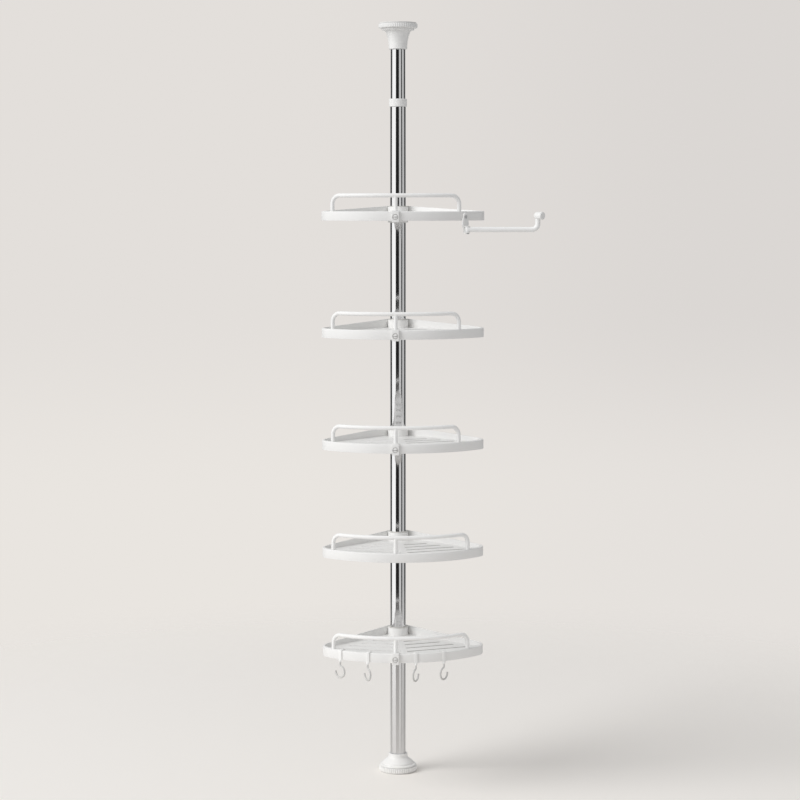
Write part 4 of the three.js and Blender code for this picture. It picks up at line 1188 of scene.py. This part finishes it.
def floor_finish():
    finish = Finish("studio floor")
    reach = finish.node("ShaderNodeVectorMath", {"operation": "LENGTH"}, {0: finish.here()})
    reach = Number(reach.outputs["Value"])
    mirrored = Number(finish.node("ShaderNodeLightPath", {}, {}).outputs["Is Glossy Ray"])
    far = (reach / MIRRORED_FLOOR_REACH).clamped() ** 0.5
    fade = reach.step(*FLOOR_FADE) * (1 - mirrored) + far * mirrored
    finish.wear(Base_Color=(*FLOOR_COLOUR, 1), Roughness=0.9)
    clear = finish.node("ShaderNodeBsdfTransparent", {}, {})
    mix = finish.node("ShaderNodeMixShader", {}, {0: fade, 1: finish.shader.outputs[0], 2: clear.outputs[0]})
    finish.put(finish.tree.nodes["Material Output"].inputs["Surface"], mix.outputs[0])
    return finish.material


def studio_world():
    """A dark room with bright cards for the mirror of the chrome, an even light for the rest and
    the backdrop for the camera."""
    world = bpy.data.worlds.new("studio")
    world.use_nodes = True
    finish = Finish("studio", world.node_tree)
    ray = finish.node("ShaderNodeLightPath", {}, {}).outputs
    view = finish.node("ShaderNodeTexCoord", {}, {}).outputs["Generated"]
    parts = finish.node("ShaderNodeSeparateXYZ", {}, {"Vector": view})
    across, ahead, rise = [Number(parts.outputs[name]) for name in "XYZ"]
    azimuth = across.work("ARCTAN2", across, ahead * -1) * (180 / math.pi)
    level = azimuth * 0 + STUDIO_DARK
    for middle, half_width, strength in STUDIO_CARDS:
        gap = azimuth - middle
        away = gap.work("ABSOLUTE", gap)
        away = away.work("MINIMUM", away, 360 - away)
        level = level + strength * (1 - away.step(half_width - STUDIO_EDGE, half_width))
    mirrored = finish.shade(level, (0.0, 0.0, 0.0), STUDIO_GLOW)
    side = across.step(*BACKDROP_WIDTH)
    height = rise.step(*BACKDROP_RISE)
    backdrop = finish.shade(height, finish.shade(side, *BACKDROP_FOOT), finish.shade(side, *BACKDROP_TOP))
    lit = finish.shade(ray["Is Glossy Ray"], AMBIENT, mirrored)
    shown = finish.shade(ray["Is Camera Ray"], lit, backdrop)
    finish.put(finish.tree.nodes["Background"].inputs["Color"], shown)
    bpy.context.scene.world = world


ground = bmesh.new()
bmesh.ops.create_circle(ground, cap_ends=True, segments=96, radius=FLOOR_RADIUS,
                        matrix=Matrix.Translation((0, 0, -FLOOR_DROP)))
floor_mesh = bpy.data.meshes.new("studio_floor")
ground.to_mesh(floor_mesh)
ground.free()
floor_mesh.materials.append(floor_finish())
floor = linked("studio_floor", floor_mesh)
studio_world()

lamp = linked("soft_lamp", bpy.data.lights.new("soft_lamp", "AREA"))
lamp.data.shape = "DISK"
lamp.data.size = LAMP_SIZE
lamp.data.energy = LAMP_POWER
towards = Vector((-math.sin(LAMP_TURN) * math.cos(LAMP_LIFT), -math.cos(LAMP_TURN) * math.cos(LAMP_LIFT),
                  math.sin(LAMP_LIFT)))
lamp.location = Vector(LAMP_AIM) + LAMP_DISTANCE * towards
lamp.rotation_euler = towards.to_track_quat("Z", "Y").to_euler()
lamp.visible_camera = False
lamp.visible_glossy = False

camera = linked("camera", bpy.data.cameras.new("camera"))
camera.data.lens = CAMERA_LENS
camera.location = CAMERA_PLACE
camera.rotation_euler = (QUARTER_TURN - CAMERA_TILT, 0, 0)
bpy.context.scene.camera = camera
bpy.context.scene.view_settings.view_transform = "Standard"
